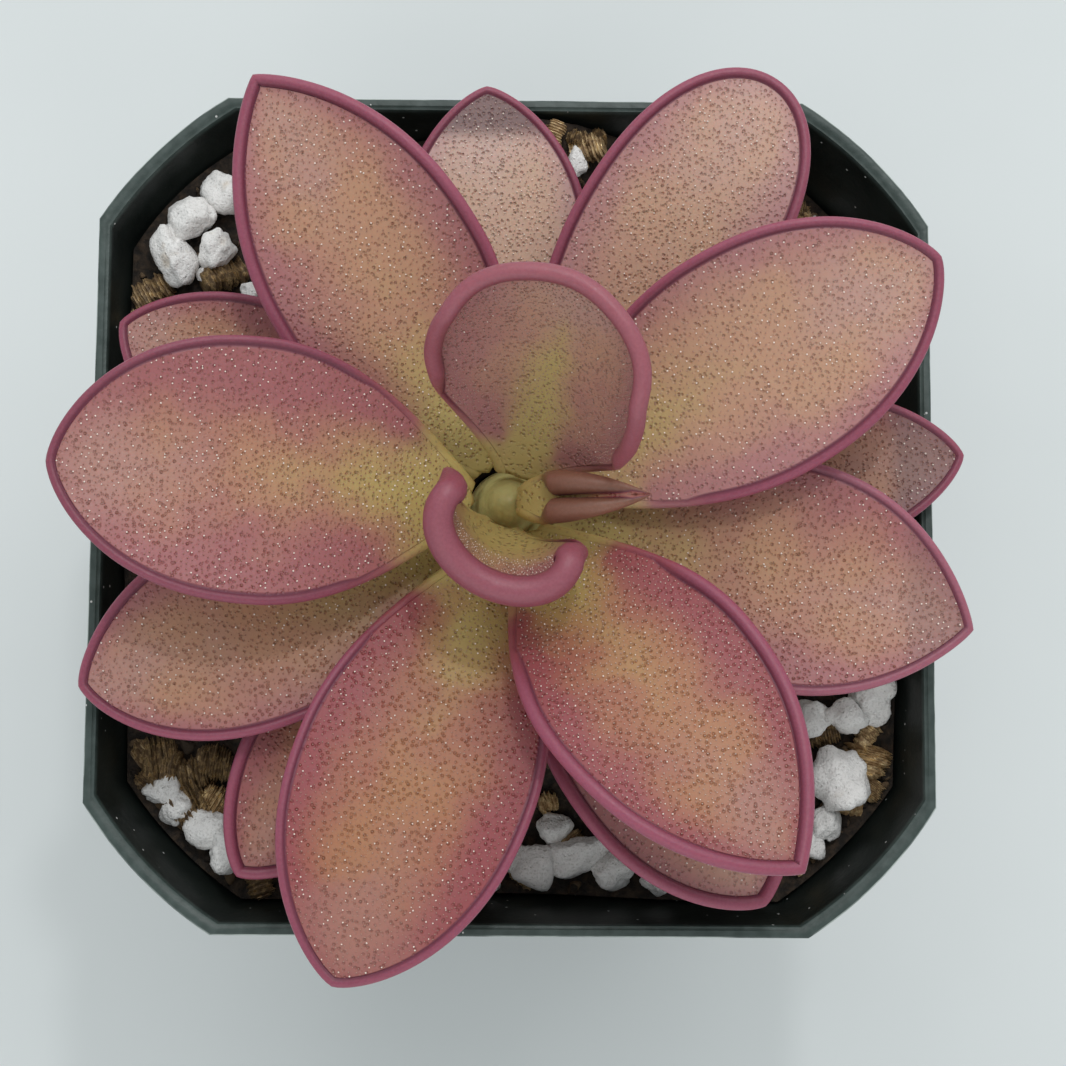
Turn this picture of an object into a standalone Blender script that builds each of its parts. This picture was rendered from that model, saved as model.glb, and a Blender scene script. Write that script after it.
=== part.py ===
"""Butterwort in a square nursery pot: sixteen leaves in a rosette on a short rooted crown,
standing in a mix of peat, perlite and vermiculite.

Metres, +Z up. The origin is the middle of the flat base that the pot stands on.
"""
import math
import random

import bmesh
import bpy
import numpy as np
from mathutils import Euler, Matrix
from mathutils.bvhtree import BVHTree

# Driving dimensions
MM = 0.001
CLEARANCE = 0.3 * MM          # left between pieces that touch

POT_WIDTH = 76.0 * MM         # across the flats of the rim
POT_HEIGHT = 70.0 * MM
POT_BASE_WIDTH = 53.0 * MM
POT_WALL = 1.1 * MM
POT_FLOOR = 1.4 * MM
CORNER_CUT = 11.5 * MM        # leg of the cut corner, at the rim
CORNER_BULGE = 0.9 * MM       # how far the cut corner bows outward
RIM_BAND_HEIGHT = 9.0 * MM    # the stiff band round the top
RIM_BAND_STEP = 0.9 * MM      # how far the band stands proud of the wall
EDGE_ROUND = 0.3 * MM
DRAIN_HOLE_COUNT = 8
DRAIN_HOLE_WIDTH = 6.0 * MM
DRAIN_HOLE_REACH = 17.0 * MM  # from the pot's axis, along X or Y
CORNER_HOLE_REACH = 1.25      # of that, for the holes that lie towards the corners
HOLE_SIDES = 12

CROWN_X = -0.3 * MM           # the plant stands a little to the left of the pot's axis
CROWN_FOOT = -6.8 * MM        # heights of the plant are measured from the pot's rim
CROWN_TOP = 6.8 * MM
CROWN_RADIUS = 4.0 * MM
ROOT_LENGTH = 17.0 * MM
ROOT_RADIUS = 0.5 * MM
ROOT_RING = 3.4 * MM          # how far the outer roots stand from the crown's axis
ROOT_SOCKET = 1.5 * MM        # how deep a root starts inside the crown
ROOT_COUNT = 9
ROOT_POINTS = 8

SOIL_HOLE_RADIUS = 4.5 * MM   # plain hole that the crown and its roots stand in
SOIL_HEIGHT = -6.6 * MM       # of the mix round the crown
MIX_RING_SHARES = (1.0, 0.9, 0.78, 0.64, 0.48, 0.3, 0.14, 0.0)
MIX_FLAT_CUTS = 6             # pieces that each flat side of the mix is cut in
GRAIN_SEED = 6
GRAIN_HEIGHT_OF_LESSER = 0.6  # a grain is as high as this share of its lesser width
GRAIN_HEIGHT_OF_GREATER = 0.2  # and this share of its greater width together
GRAIN_LIFT = 0.1              # of its height, that a grain's middle stands above the mix
GRAIN_TILT = 0.3              # radians, at most, about each axis
GRAIN_UNEVEN = (0.86, 1.08)   # least and greatest share that a corner of a grain moves out to
ICO_POINTS = 42               # corners of the rounder grain
ROUND_GRAIN = 3.0             # millimetres across, from which a grain of perlite is rounder
FLAKE_BLOCK = 0.85            # side of a vermiculite block, to the grain's width
EXTRA_GRAINS = 26             # set at random in the ring that the leaves hide
EXTRA_REACH = (19, 34)        # millimetres from the axis
EXTRA_WIDTH = (2.5, 4)        # millimetres

# Hills and dips of the surface, in millimetres: place, spread and rise
SOIL_HILLS = [
    (2, 36, 8, 6), (-34, 4, 13, 2.8), (-27, 25, 11, 2.3), (33, -6, 12, 1.2), (0, -34, 14, -3.6),
    (29, 29, 13, -3.6), (-27, -27, 11, -1.2), (27, -27, 10, -1.4),
]

# Grains that show between the leaves and the rim, in millimetres: place and both widths
PERLITE = [
    (-34.5, 24.5, 2, 6), (-31.5, 23.5, 4.5, 6), (-29.5, 27.5, 4.5, 4), (-27.5, 24.5, 3.5, 4),
    (-28, 30.5, 3.5, 4), (-28.5, 22, 2, 1.5), (11, 37.5, 3.5, 2.5), (5.5, 32.5, 2, 3.5),
    (31.5, 30, 2.5, 2.5), (29.5, 30, 1.5, 1.5), (-36.5, -26.5, 3.5, 2.5), (-33.5, -26.5, 1.5, 1.5),
    (-33, -29, 3, 3.5), (-28.5, -30, 4.5, 3.5), (-27.5, -33.5, 5, 5), (-1.5, -34.5, 1.5, 2),
    (2, -32, 4.5, 4.5), (4, -29, 3.5, 3), (6, -34, 7, 3.5), (9.5, -33, 4.5, 4),
    (13.5, -35.5, 3, 2.5), (28, -18.5, 4, 3.5), (31, -18.5, 4, 3.5), (33.5, -17.5, 3, 3),
    (36.5, -16.5, 4, 4), (30.5, -24, 5.5, 6), (30.5, -29, 3, 3.5), (29, -31.5, 3, 2.5),
]
VERMICULITE = [
    (-36, 20.5, 3.5, 3), (-33.5, 20, 2.5, 1.5), (-36, 18.5, 2.5, 1.5), (-27, 22, 4, 2.5),
    (3.5, 35, 2.5, 2), (6, 35.5, 2.5, 1.5), (7.5, 37, 1.5, 1.5), (6.5, 34, 3.5, 2.5),
    (28.5, 34.5, 2, 3), (28.5, 32, 2.5, 1.5), (28, 30, 2.5, 2), (33.5, 29, 3.5, 2),
    (-35.5, -23, 3, 5), (-33.5, -22.5, 1.5, 3.5), (-32, -23, 3, 3.5), (-33.5, -24.5, 2, 2),
    (-30, -26.5, 4, 3.5), (-31.5, -29, 2, 3), (-27.5, -23, 3, 3.5), (-27.5, -26.5, 2.5, 3.5),
    (-29.5, -24, 3, 3), (-23, -36, 3, 2.5), (1, -35, 3, 1.5), (6, -31, 3.5, 3),
    (3.5, -26.5, 1.5, 2), (29, -20, 3, 2), (33, -20, 2.5, 1.5), (34, -22.5, 3, 4.5),
    (34, -25.5, 2, 2), (32, -27, 3, 1.5), (29.5, -27, 2, 1.5), (29, -28.5, 1, 2), (27, -33, 4, 2),
]

LEAF_THICKNESS = 0.65 * MM
LEAF_BASE_THICKNESS = 1.4 * MM

# One row for each leaf, youngest first, in millimetres and degrees. The older leaves follow each
# other clockwise, each roughly 137.5 degrees on from the last.
#   heading, sweep       the way it points from +X, and how far it turns from there to its tip
#   length, width        along the midrib, and across its widest place before the cup bends it
#   rise, end            how steeply it leaves the crown, and how steep its tip is
#   height               of its base above the rim
#   roll, roll_start     radius of the rolled margin, and the share of the length where it begins
#   roll_share, tip_roll  most that the roll takes of the half-width, and rolls added to that
#   cup, twist           how far each side turns up, and how far the blade turns about its midrib
#   base, widest, full   width at the base, place of the widest, and how late the width grows
#   tip_fall, tip_round  how late the width falls off towards the tip, and how blunt the tip is
LEAF_ROWS = {
    "leaf_01": dict(heading=-4, sweep=6, length=13.5, width=4.8, rise=60, end=4, height=7.0,
                    roll=1.15, roll_share=0.46, tip_roll=0, cup=8, base=0.5, widest=0.42, full=0.8,
                    tip_fall=1.6, tip_round=0.95, roll_start=0.2),
    "leaf_02": dict(heading=-109.5, length=13.8, width=20.8, rise=69, end=52, height=5.0, roll=1.3,
                    roll_start=0.5, cup=78, twist=12, base=0.22, widest=0.74, full=1.2,
                    tip_fall=3.0, tip_round=0.5),
    "leaf_03": dict(heading=70.5, length=26.0, width=24.0, rise=48, end=68, height=4.6, roll=0.75,
                    roll_start=0.28, cup=60, base=0.2, widest=0.62, full=1.2, tip_fall=2.6,
                    tip_round=0.5, twist=8),
    "leaf_04": dict(heading=-55.4, sweep=6, length=39.0, width=20.6, rise=36, end=4, height=3.4,
                    roll=0.6, twist=12, widest=0.5, tip_round=0.88),
    "leaf_05": dict(heading=174, sweep=6.5, length=37.6, width=22.8, rise=36, end=4, height=2.7,
                    roll=0.42, tip_round=0.66),
    "leaf_06": dict(heading=29.1, length=40.2, width=20.9, rise=32, end=3, height=2.0, roll=0.45,
                    twist=-7),
    "leaf_07": dict(heading=-107, sweep=-5, length=41.2, width=21.3, rise=26, end=0, height=1.3,
                    roll=0.42, twist=-4),
    "leaf_08": dict(heading=120.3, sweep=3, length=40.5, width=20.2, rise=29, end=2, height=0.6,
                    roll=0.55, twist=8, widest=0.48, tip_round=0.85),
    "leaf_09": dict(heading=-14, sweep=-3, length=38.5, width=20.6, rise=22, end=1, height=-0.1,
                    roll=0.42, tip_round=0.85),
    "leaf_10": dict(heading=-151, sweep=-12, length=37.3, width=18.6, rise=18, end=-2,
                    height=-0.7, roll=0.45, cup=10),
    "leaf_11": dict(heading=59.9, sweep=-4, length=41.2, width=18.1, rise=25, end=2, height=-1.3,
                    roll=0.48, cup=10, widest=0.6, tip_round=0.5),
    "leaf_12": dict(heading=-57.2, length=37.8, width=19.6, rise=14, end=0, height=-1.9, roll=0.6,
                    cup=10, twist=6),
    "leaf_13": dict(heading=154.8, length=35.0, width=16.2, rise=11, end=1, height=-2.5, roll=0.42,
                    cup=10),
    "leaf_14": dict(heading=6.9, length=37.1, width=15.3, rise=16, end=1, height=-3.1, roll=0.4,
                    cup=10),
    "leaf_15": dict(heading=-126, length=36.5, width=15.6, rise=11, end=2, height=-3.7,
                    roll=0.55, cup=10, twist=8),
    "leaf_16": dict(heading=93.5, length=34.8, width=17.8, rise=16, end=6, height=-4.3, roll=0.4,
                    cup=10),
}
LEAF_COMMON = dict(sweep=0, cup=12, twist=0, base=0.16, widest=0.54, full=1.0, tip_fall=2.3,
                   tip_round=0.72, roll_start=0.12, roll_share=0.42, tip_roll=1)
LEAF_STATIONS = 13            # sections along a leaf
LEAF_BLADE_POINTS = 3         # across each half of a section
LEAF_ROLL_POINTS = 5          # round each rolled margin


def material(name, colour, roughness, metallic=0.0):
    made = bpy.data.materials.new(name)
    made.use_nodes = True
    shader = made.node_tree.nodes["Principled BSDF"]
    shader.inputs["Base Color"].default_value = (*colour, 1.0)
    shader.inputs["Roughness"].default_value = roughness
    shader.inputs["Metallic"].default_value = metallic
    return made


def mesh_object(name, points, faces, collection, finish=None):
    mesh = bpy.data.meshes.new(name)
    mesh.from_pydata([tuple(point) for point in points], [], [tuple(face) for face in faces])
    made = bpy.data.objects.new(name, mesh)
    collection.objects.link(made)
    if finish is not None:
        mesh.materials.append(finish)
    return made


def loft(rings):
    """Points and faces of a closed solid through rings of equal count, capped at both ends."""
    count = len(rings[0])
    points = [point for ring in rings for point in ring]
    faces = []
    for level in range(len(rings) - 1):
        for index in range(count):
            after = (index + 1) % count
            low, high = level * count, (level + 1) * count
            faces.append((low + index, low + after, high + after, high + index))
    faces.append(range(count - 1, -1, -1))
    faces.append(range(len(points) - count, len(points)))
    return points, faces


def face_outward(item):
    """Turn every face of a closed mesh to point away from its inside."""
    shape = bmesh.new()
    shape.from_mesh(item.data)
    bmesh.ops.recalc_face_normals(shape, faces=shape.faces)
    shape.to_mesh(item.data)
    shape.free()


def apply_boolean(item, operation, operand=None, collection=None):
    """Cut or join another object, or a whole collection, and keep the result in the mesh."""
    change = item.modifiers.new("boolean", "BOOLEAN")
    change.operation = operation
    if collection is not None:
        change.operand_type = "COLLECTION"
        change.collection = collection
    else:
        change.object = operand
    bpy.context.view_layer.update()
    evaluated = item.evaluated_get(bpy.context.evaluated_depsgraph_get())
    result = bpy.data.meshes.new_from_object(evaluated)
    item.modifiers.clear()
    item.data = result


def keep_outer_body(item):
    """Drop all but the largest connected surface: sealed hollows close and loose scraps go."""
    shape = bmesh.new()
    shape.from_mesh(item.data)
    left = set(shape.verts)
    bodies = []
    while left:
        start = left.pop()
        body, reached = [start], [start]
        while reached:
            for edge in reached.pop().link_edges:
                for vertex in edge.verts:
                    if vertex in left:
                        left.remove(vertex)
                        body.append(vertex)
                        reached.append(vertex)
        bodies.append(body)
    bodies.sort(key=len)
    for body in bodies[:-1]:
        bmesh.ops.delete(shape, geom=body, context="VERTS")
    shape.to_mesh(item.data)
    shape.free()


# Pot: one moulded shell, a square that narrows to its base, with cut corners that bow outward
def pot_outline(half_width):
    """Corners of the square, each cut and replaced by a shallow arc of five points."""
    scale = half_width / (POT_WIDTH / 2)
    leg = CORNER_CUT * scale
    bulge = CORNER_BULGE * scale
    chord = leg * math.sqrt(2)
    radius = (chord * chord / 4 + bulge * bulge) / (2 * bulge)
    half_angle = math.asin(chord / 2 / radius)
    centre = half_width - leg / 2 - (radius - bulge) / math.sqrt(2)
    outline = []
    for corner in range(4):
        middle = math.radians(45 + 90 * corner)
        centre_x = math.copysign(centre, math.cos(middle))
        centre_y = math.copysign(centre, math.sin(middle))
        for step in range(5):
            angle = middle + half_angle * (step / 2 - 1)
            outline.append((centre_x + radius * math.cos(angle), centre_y + radius * math.sin(angle)))
    return outline


def pot_ring(half_width, height):
    return [(x, y, height) for x, y in pot_outline(half_width)]


def wall_half_width(height):
    """Half the pot's outer width below the band: it grows evenly from the base to the rim."""
    top = POT_WIDTH / 2 - RIM_BAND_STEP
    return POT_BASE_WIDTH / 2 + (top - POT_BASE_WIDTH / 2) * height / POT_HEIGHT


def inner_half_width(height):
    """Half the pot's inner width: it meets the rim's inner edge one wall in from outside."""
    top = POT_WIDTH / 2 - POT_WALL
    foot = POT_BASE_WIDTH / 2 - POT_WALL
    return foot + (top - foot) * height / POT_HEIGHT


def make_pot(collection, cutters):
    band_foot = POT_HEIGHT - RIM_BAND_HEIGHT
    rim = POT_WIDTH / 2
    profile = [
        (POT_BASE_WIDTH / 2 - EDGE_ROUND, 0.0),
        (POT_BASE_WIDTH / 2, EDGE_ROUND),
        (wall_half_width(band_foot), band_foot),
        (rim - EDGE_ROUND, band_foot + EDGE_ROUND),
        (rim, POT_HEIGHT - EDGE_ROUND),
        (rim - EDGE_ROUND, POT_HEIGHT),
        (rim - POT_WALL + EDGE_ROUND, POT_HEIGHT),
        (inner_half_width(POT_HEIGHT - EDGE_ROUND), POT_HEIGHT - EDGE_ROUND),
        (inner_half_width(POT_FLOOR), POT_FLOOR),
    ]
    rings = [pot_ring(half_width, height) for half_width, height in profile]
    points, faces = loft(rings)
    finish = material("pot_plastic", (0.035, 0.055, 0.045), 0.45)
    pot = mesh_object("pot", points, faces, collection, finish)
    face_outward(pot)
    for turn in range(DRAIN_HOLE_COUNT):
        angle = 2 * math.pi * turn / DRAIN_HOLE_COUNT
        reach = DRAIN_HOLE_REACH * (1.0 if turn % 2 == 0 else CORNER_HOLE_REACH)
        place = (reach * math.cos(angle), reach * math.sin(angle), 0)
        bpy.ops.mesh.primitive_cylinder_add(vertices=HOLE_SIDES, radius=DRAIN_HOLE_WIDTH / 2,
                                            depth=4 * POT_FLOOR, location=place)
        cutter = bpy.context.object
        cutter.name = f"drain_hole_cutter_{turn + 1}"
        cutter.hide_render = True
        cutter.display_type = "WIRE"
        for owner in list(cutter.users_collection):
            owner.objects.unlink(cutter)
        cutters.objects.link(cutter)
        apply_boolean(pot, "DIFFERENCE", operand=cutter)
    return pot


# Crown: the short upright stem, widest at its foot, that carries the leaves
def crown_radius(height):
    """Radius at a height above the rim: R (1 - s^2.2)^0.6, with s from 0 at the foot to 1 on top."""
    part = (height - CROWN_FOOT) / (CROWN_TOP - CROWN_FOOT)
    return CROWN_RADIUS * (1 - min(max(part, 0.0), 1.0) ** 2.2) ** 0.6


def smooth(value):
    """0 below 0, 1 above 1, and an even S between them."""
    part = np.clip(value, 0, 1)
    return part * part * (3 - 2 * part)


# Leaves: thin fleshy blades, widest near the middle, with both margins rolled up and in
def leaf_half_width(part, leaf):
    """Share of the greatest half-width at a share of the length: a rising sine, then a round tip."""
    grow = np.clip(part / leaf["widest"], 0, 1)
    fall = np.clip((part - leaf["widest"]) / (1 - leaf["widest"]), 0, 1)
    rising = leaf["base"] + (1 - leaf["base"]) * np.sin(math.pi / 2 * grow) ** leaf["full"]
    falling = (1 - fall ** leaf["tip_fall"]) ** leaf["tip_round"]
    return np.where(part <= leaf["widest"], rising, falling)


def leaf_midline(part, leaf):
    """Places on the midrib with the leaf's forward, right and upper directions there.

    The slope and the heading each change evenly from base to tip, so the midrib is an arc. The
    base stands one clearance off the crown.
    """
    fine = np.linspace(0, 1, 400)
    slope = np.radians(leaf["rise"] + (leaf["end"] - leaf["rise"]) * fine)
    heading = np.radians(leaf["heading"] + leaf["sweep"] * fine)
    forward = np.stack([np.cos(slope) * np.cos(heading), np.cos(slope) * np.sin(heading), np.sin(slope)], 1)
    places = np.vstack([np.zeros(3), np.cumsum((forward[1:] + forward[:-1]) / 2, 0)])
    places *= leaf["length"] * MM / (len(fine) - 1)
    base_height = leaf["height"] * MM
    base_reach = crown_radius(base_height) + CLEARANCE + LEAF_BASE_THICKNESS / 2 * math.sin(slope[0])
    places += (CROWN_X + base_reach * math.cos(heading[0]), base_reach * math.sin(heading[0]),
               POT_HEIGHT + base_height)
    places = np.stack([np.interp(part, fine, places[:, axis]) for axis in range(3)], 1)
    forward = np.stack([np.interp(part, fine, forward[:, axis]) for axis in range(3)], 1)
    forward /= np.linalg.norm(forward, axis=1)[:, None]
    heading = np.interp(part, fine, heading)
    right = np.stack([np.sin(heading), -np.cos(heading), 0 * heading], 1)
    upper = np.cross(right, forward)
    twist = (np.radians(leaf["twist"]) * np.minimum(1, part / 0.6))[:, None]
    return (places, right * np.cos(twist) + upper * np.sin(twist),
            upper * np.cos(twist) - right * np.sin(twist))


def leaf_sections(part, leaf):
    """Closed outlines across the leaf, as (right, up) pairs from the middle of its underside.

    The blade is an arc that turns up by the leaf's cup on each side. Its margin is a round roll
    on top of the edge, and at the tip the roll runs across, which closes the front of the leaf.
    """
    half_width = leaf["width"] * MM / 2 * leaf_half_width(part, leaf)
    full_roll = leaf["roll"] * MM
    from_tip = (1 - part) * leaf["length"] * MM
    tip_end = np.sqrt(np.clip(1 - np.clip(1 - from_tip / full_roll, 0, 1) ** 2, 0.02, 1))
    tall = full_roll * (0.25 + 0.75 * smooth((part - leaf["roll_start"]) / 0.22)) * tip_end
    thick = LEAF_THICKNESS + (LEAF_BASE_THICKNESS - LEAF_THICKNESS) * (1 - smooth(part / 0.35))
    tall = np.minimum(tall, leaf["roll_share"] * half_width + leaf["tip_roll"] * full_roll)
    thick = np.minimum(thick, np.maximum(1.9 * tall, 0.8 * half_width))
    tall = np.maximum(tall, thick * 0.52)
    wide = np.minimum(tall, leaf["roll_share"] * half_width)
    flat = half_width - wide
    across_tip = smooth(1.2 - from_tip / (2.4 * full_roll))
    top = thick / 2 + (2 * tall - thick) * across_tip
    turn = math.radians(leaf["cup"]) * (0.35 + 0.65 * smooth(part / 0.5))
    turn *= 1 - 0.5 * smooth((part - 0.75) / 0.25)
    bend = flat / turn
    share = np.linspace(0, 1, LEAF_BLADE_POINTS)

    def on_blade(angles, rise):
        side = np.sin(angles) * (bend[:, None] - rise[:, None])
        up = bend[:, None] - np.cos(angles) * (bend[:, None] - rise[:, None])
        return np.stack([side, up], 2)

    under = on_blade(turn[:, None] * share, -thick / 2)
    roll_end = math.pi - np.arcsin(np.clip((top + thick / 2) / tall - 1, -1, 1))
    round_angle = -math.pi / 2 + (roll_end[:, None] + math.pi / 2) * np.linspace(0, 1, LEAF_ROLL_POINTS)
    outward = np.stack([np.cos(turn), np.sin(turn)], 1)[:, None, :]
    inward = np.stack([-np.sin(turn), np.cos(turn)], 1)[:, None, :]
    edge = np.stack([bend * np.sin(turn), bend - bend * np.cos(turn)], 1)[:, None, :]
    middle = edge + inward * (tall - thick / 2)[:, None, None]
    rolled = (middle + outward * (wide[:, None] * np.cos(round_angle))[:, :, None]
              + inward * (tall[:, None] * np.sin(round_angle))[:, :, None])
    crease = (flat + wide * np.cos(roll_end)) / flat
    over = on_blade(turn[:, None] * share * crease[:, None], top)[:, ::-1]
    right = np.concatenate([under[:, :-1], rolled[:, :-1], over], 1)
    left = right[:, 1:-1][:, ::-1] * np.array([-1, 1])
    return np.concatenate([right, left], 1)


def make_leaf(name, collection, finish):
    """One leaf as a loft: sections closer together near the tip, split alike above and below."""
    leaf = LEAF_COMMON | LEAF_ROWS[name]
    part = 1 - (1 - np.linspace(0, 0.985, LEAF_STATIONS)) ** 1.6
    outlines = leaf_sections(part, leaf)
    places, right, upper = leaf_midline(part, leaf)
    rings = places[:, None] + outlines[:, :, :1] * right[:, None] + outlines[:, :, 1:] * upper[:, None]
    count = rings.shape[1]
    end_place, _, end_upper = leaf_midline(np.array([1.0]), leaf)
    tip = end_place[0] + end_upper[0] * leaf["roll"] * MM * 0.5
    points = np.vstack([rings.reshape(-1, 3), tip, rings[0].mean(0)])
    tip_index, base_index = len(points) - 2, len(points) - 1
    first_over = LEAF_BLADE_POINTS + LEAF_ROLL_POINTS - 2
    last_over = first_over + 2 * LEAF_BLADE_POINTS - 2
    faces = []
    for station in range(LEAF_STATIONS - 1):
        for index in range(count):
            after = (index + 1) % count
            a, b = station * count + index, station * count + after
            c, d = b + count, a + count
            if first_over <= index < last_over:
                faces += [(a, b, d), (b, c, d)]
            else:
                faces += [(a, b, c), (a, c, d)]
    last = (LEAF_STATIONS - 1) * count
    for index in range(count):
        after = (index + 1) % count
        faces += [(last + index, last + after, tip_index), (index, base_index, after)]
    made = mesh_object(name, points, faces, collection, finish)
    face_outward(made)
    return made


# Crown: a turned stem, with its roots hanging straight down in the hole in the mix
def make_crown(collection):
    heights = [CROWN_TOP - (CROWN_TOP - CROWN_FOOT) * step / 10 for step in range(11)]
    profile = [(crown_radius(height), height) for height in heights] + [(0.0, CROWN_FOOT)]
    points = [(radius, 0.0, POT_HEIGHT + height) for radius, height in profile]
    mesh = bpy.data.meshes.new("crown")
    mesh.from_pydata(points, [(index, index + 1) for index in range(len(points) - 1)], [])
    crown = bpy.data.objects.new("crown", mesh)
    collection.objects.link(crown)
    turned = crown.modifiers.new("turned", "SCREW")
    turned.steps = turned.render_steps = 16
    turned.use_merge_vertices = True
    turned.merge_threshold = 0.01 * MM
    bpy.context.view_layer.update()
    evaluated = crown.evaluated_get(bpy.context.evaluated_depsgraph_get())
    solid = bpy.data.meshes.new_from_object(evaluated)
    solid.transform(Matrix.Translation((CROWN_X, 0, 0)))
    crown.modifiers.clear()
    crown.data = solid
    face_outward(crown)
    roots = bpy.data.collections.new("roots")
    bpy.context.scene.collection.children.link(roots)
    for index in range(ROOT_COUNT):
        add_root(index, roots)
    apply_boolean(crown, "UNION", collection=roots)
    discard(roots)
    crown.data.materials.append(material("crown_tissue", (0.36, 0.34, 0.13), 0.5))
    return crown


def add_root(index, collection):
    """A root as a tapering tube: it bows out to the ring's radius, then swings back to its tip."""
    angle = 2 * math.pi * index / ROOT_COUNT
    ring = ROOT_RING * (1.0 if index % 2 == 0 else 0.45)
    length = ROOT_LENGTH * (0.85 + 0.15 * math.cos(3 * angle))
    curve = bpy.data.curves.new(f"root_{index + 1}", "CURVE")
    curve.dimensions = "3D"
    curve.bevel_depth = ROOT_RADIUS
    curve.bevel_resolution = 1
    curve.use_fill_caps = True
    line = curve.splines.new("POLY")
    line.points.add(ROOT_POINTS - 1)
    for step, point in enumerate(line.points):
        along = step / (ROOT_POINTS - 1)
        reach = ring * (0.7 + 0.3 * math.sin(math.pi * along))
        swing = angle + 0.25 * math.sin(2 * math.pi * along)
        height = POT_HEIGHT + CROWN_FOOT + ROOT_SOCKET - (length + ROOT_SOCKET) * along
        point.co = (CROWN_X + reach * math.cos(swing), reach * math.sin(swing), height, 1)
        point.radius = 1 - 0.35 * along
    tube = bpy.data.objects.new(curve.name, curve)
    collection.objects.link(tube)
    bpy.context.view_layer.update()
    evaluated = tube.evaluated_get(bpy.context.evaluated_depsgraph_get())
    mesh = bpy.data.meshes.new_from_object(evaluated)
    bpy.data.objects.remove(tube, do_unlink=True)
    shape = bmesh.new()
    shape.from_mesh(mesh)
    bmesh.ops.remove_doubles(shape, verts=shape.verts, dist=0.001 * MM)
    bmesh.ops.recalc_face_normals(shape, faces=shape.faces)
    shape.to_mesh(mesh)
    shape.free()
    collection.objects.link(bpy.data.objects.new(f"root_{index + 1}", mesh))


def discard(collection):
    for item in list(collection.objects):
        bpy.data.objects.remove(item, do_unlink=True)
    bpy.data.collections.remove(collection)


# Growing mix: fills the pot up to an uneven surface, with a plain hole for the crown and roots
def soil_height(x, y):
    """Height of the bare mix from the rim: level, plus a round hill or dip at each listed place."""
    height = SOIL_HEIGHT
    for hill_x, hill_y, spread, rise in SOIL_HILLS:
        away = math.hypot(x - hill_x * MM, y - hill_y * MM) / (spread * MM)
        height += rise * MM * math.exp(-away * away)
    return height


def mix_outline(half_width):
    """The pot's outline with each flat side cut in even pieces."""
    corners = pot_outline(half_width)
    outline = []
    for index, (x, y) in enumerate(corners):
        outline.append((x, y))
        if index % 5 == 4:
            next_x, next_y = corners[(index + 1) % len(corners)]
            for step in range(1, MIX_FLAT_CUTS):
                share = step / MIX_FLAT_CUTS
                outline.append((x + (next_x - x) * share, y + (next_y - y) * share))
    return outline


def mix_edge():
    """The surface's outer ring, which follows the pot's taper as it rises and falls."""
    edge = []
    for index, (x, y) in enumerate(mix_outline(inner_half_width(POT_HEIGHT + SOIL_HEIGHT))):
        half_width = inner_half_width(POT_HEIGHT + soil_height(x, y)) - CLEARANCE
        edge.append(mix_outline(half_width)[index])
    return edge


def make_mix(collection, leaves):
    floor = POT_FLOOR + CLEARANCE
    hole_floor = POT_HEIGHT + CROWN_FOOT - ROOT_LENGTH - 2 * CLEARANCE
    rings = [[(x, y, floor) for x, y in mix_outline(inner_half_width(floor) - CLEARANCE)]]
    for share in MIX_RING_SHARES:
        ring = []
        for x, y in mix_edge():
            angle = math.atan2(y, x)
            hole_x = CROWN_X + SOIL_HOLE_RADIUS * math.cos(angle)
            hole_y = SOIL_HOLE_RADIUS * math.sin(angle)
            ring_x, ring_y = hole_x + (x - hole_x) * share, hole_y + (y - hole_y) * share
            ring.append((ring_x, ring_y, POT_HEIGHT + soil_height(ring_x, ring_y)))
        rings.append(ring)
    rings.append([(x, y, hole_floor) for x, y, _ in rings[-1]])
    points, faces = loft(rings)
    finish = material("growing_mix", (0.12, 0.08, 0.05), 0.9)
    mix = mesh_object("growing_mix", points, faces, collection, finish)
    face_outward(mix)
    surface = BVHTree.FromPolygons(points, [tuple(face) for face in faces])
    grains = bpy.data.collections.new("grains")
    bpy.context.scene.collection.children.link(grains)
    leaf_points = np.vstack([[tuple(vertex.co) for vertex in leaf.data.vertices] for leaf in leaves])
    chance = random.Random(GRAIN_SEED)
    rows = [(row, True) for row in PERLITE] + [(row, False) for row in VERMICULITE]
    for _ in range(EXTRA_GRAINS):
        angle = chance.uniform(0, 2 * math.pi)
        reach = chance.uniform(*EXTRA_REACH)
        wide = chance.uniform(*EXTRA_WIDTH)
        row = (reach * math.cos(angle), reach * math.sin(angle), wide, wide * chance.uniform(0.7, 1))
        rows.append((row, chance.random() < 0.5))
    for row, is_perlite in rows:
        add_grain(row, is_perlite, chance, surface, leaf_points, grains)
    apply_boolean(mix, "UNION", collection=grains)
    keep_outer_body(mix)
    discard(grains)
    return mix


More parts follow.
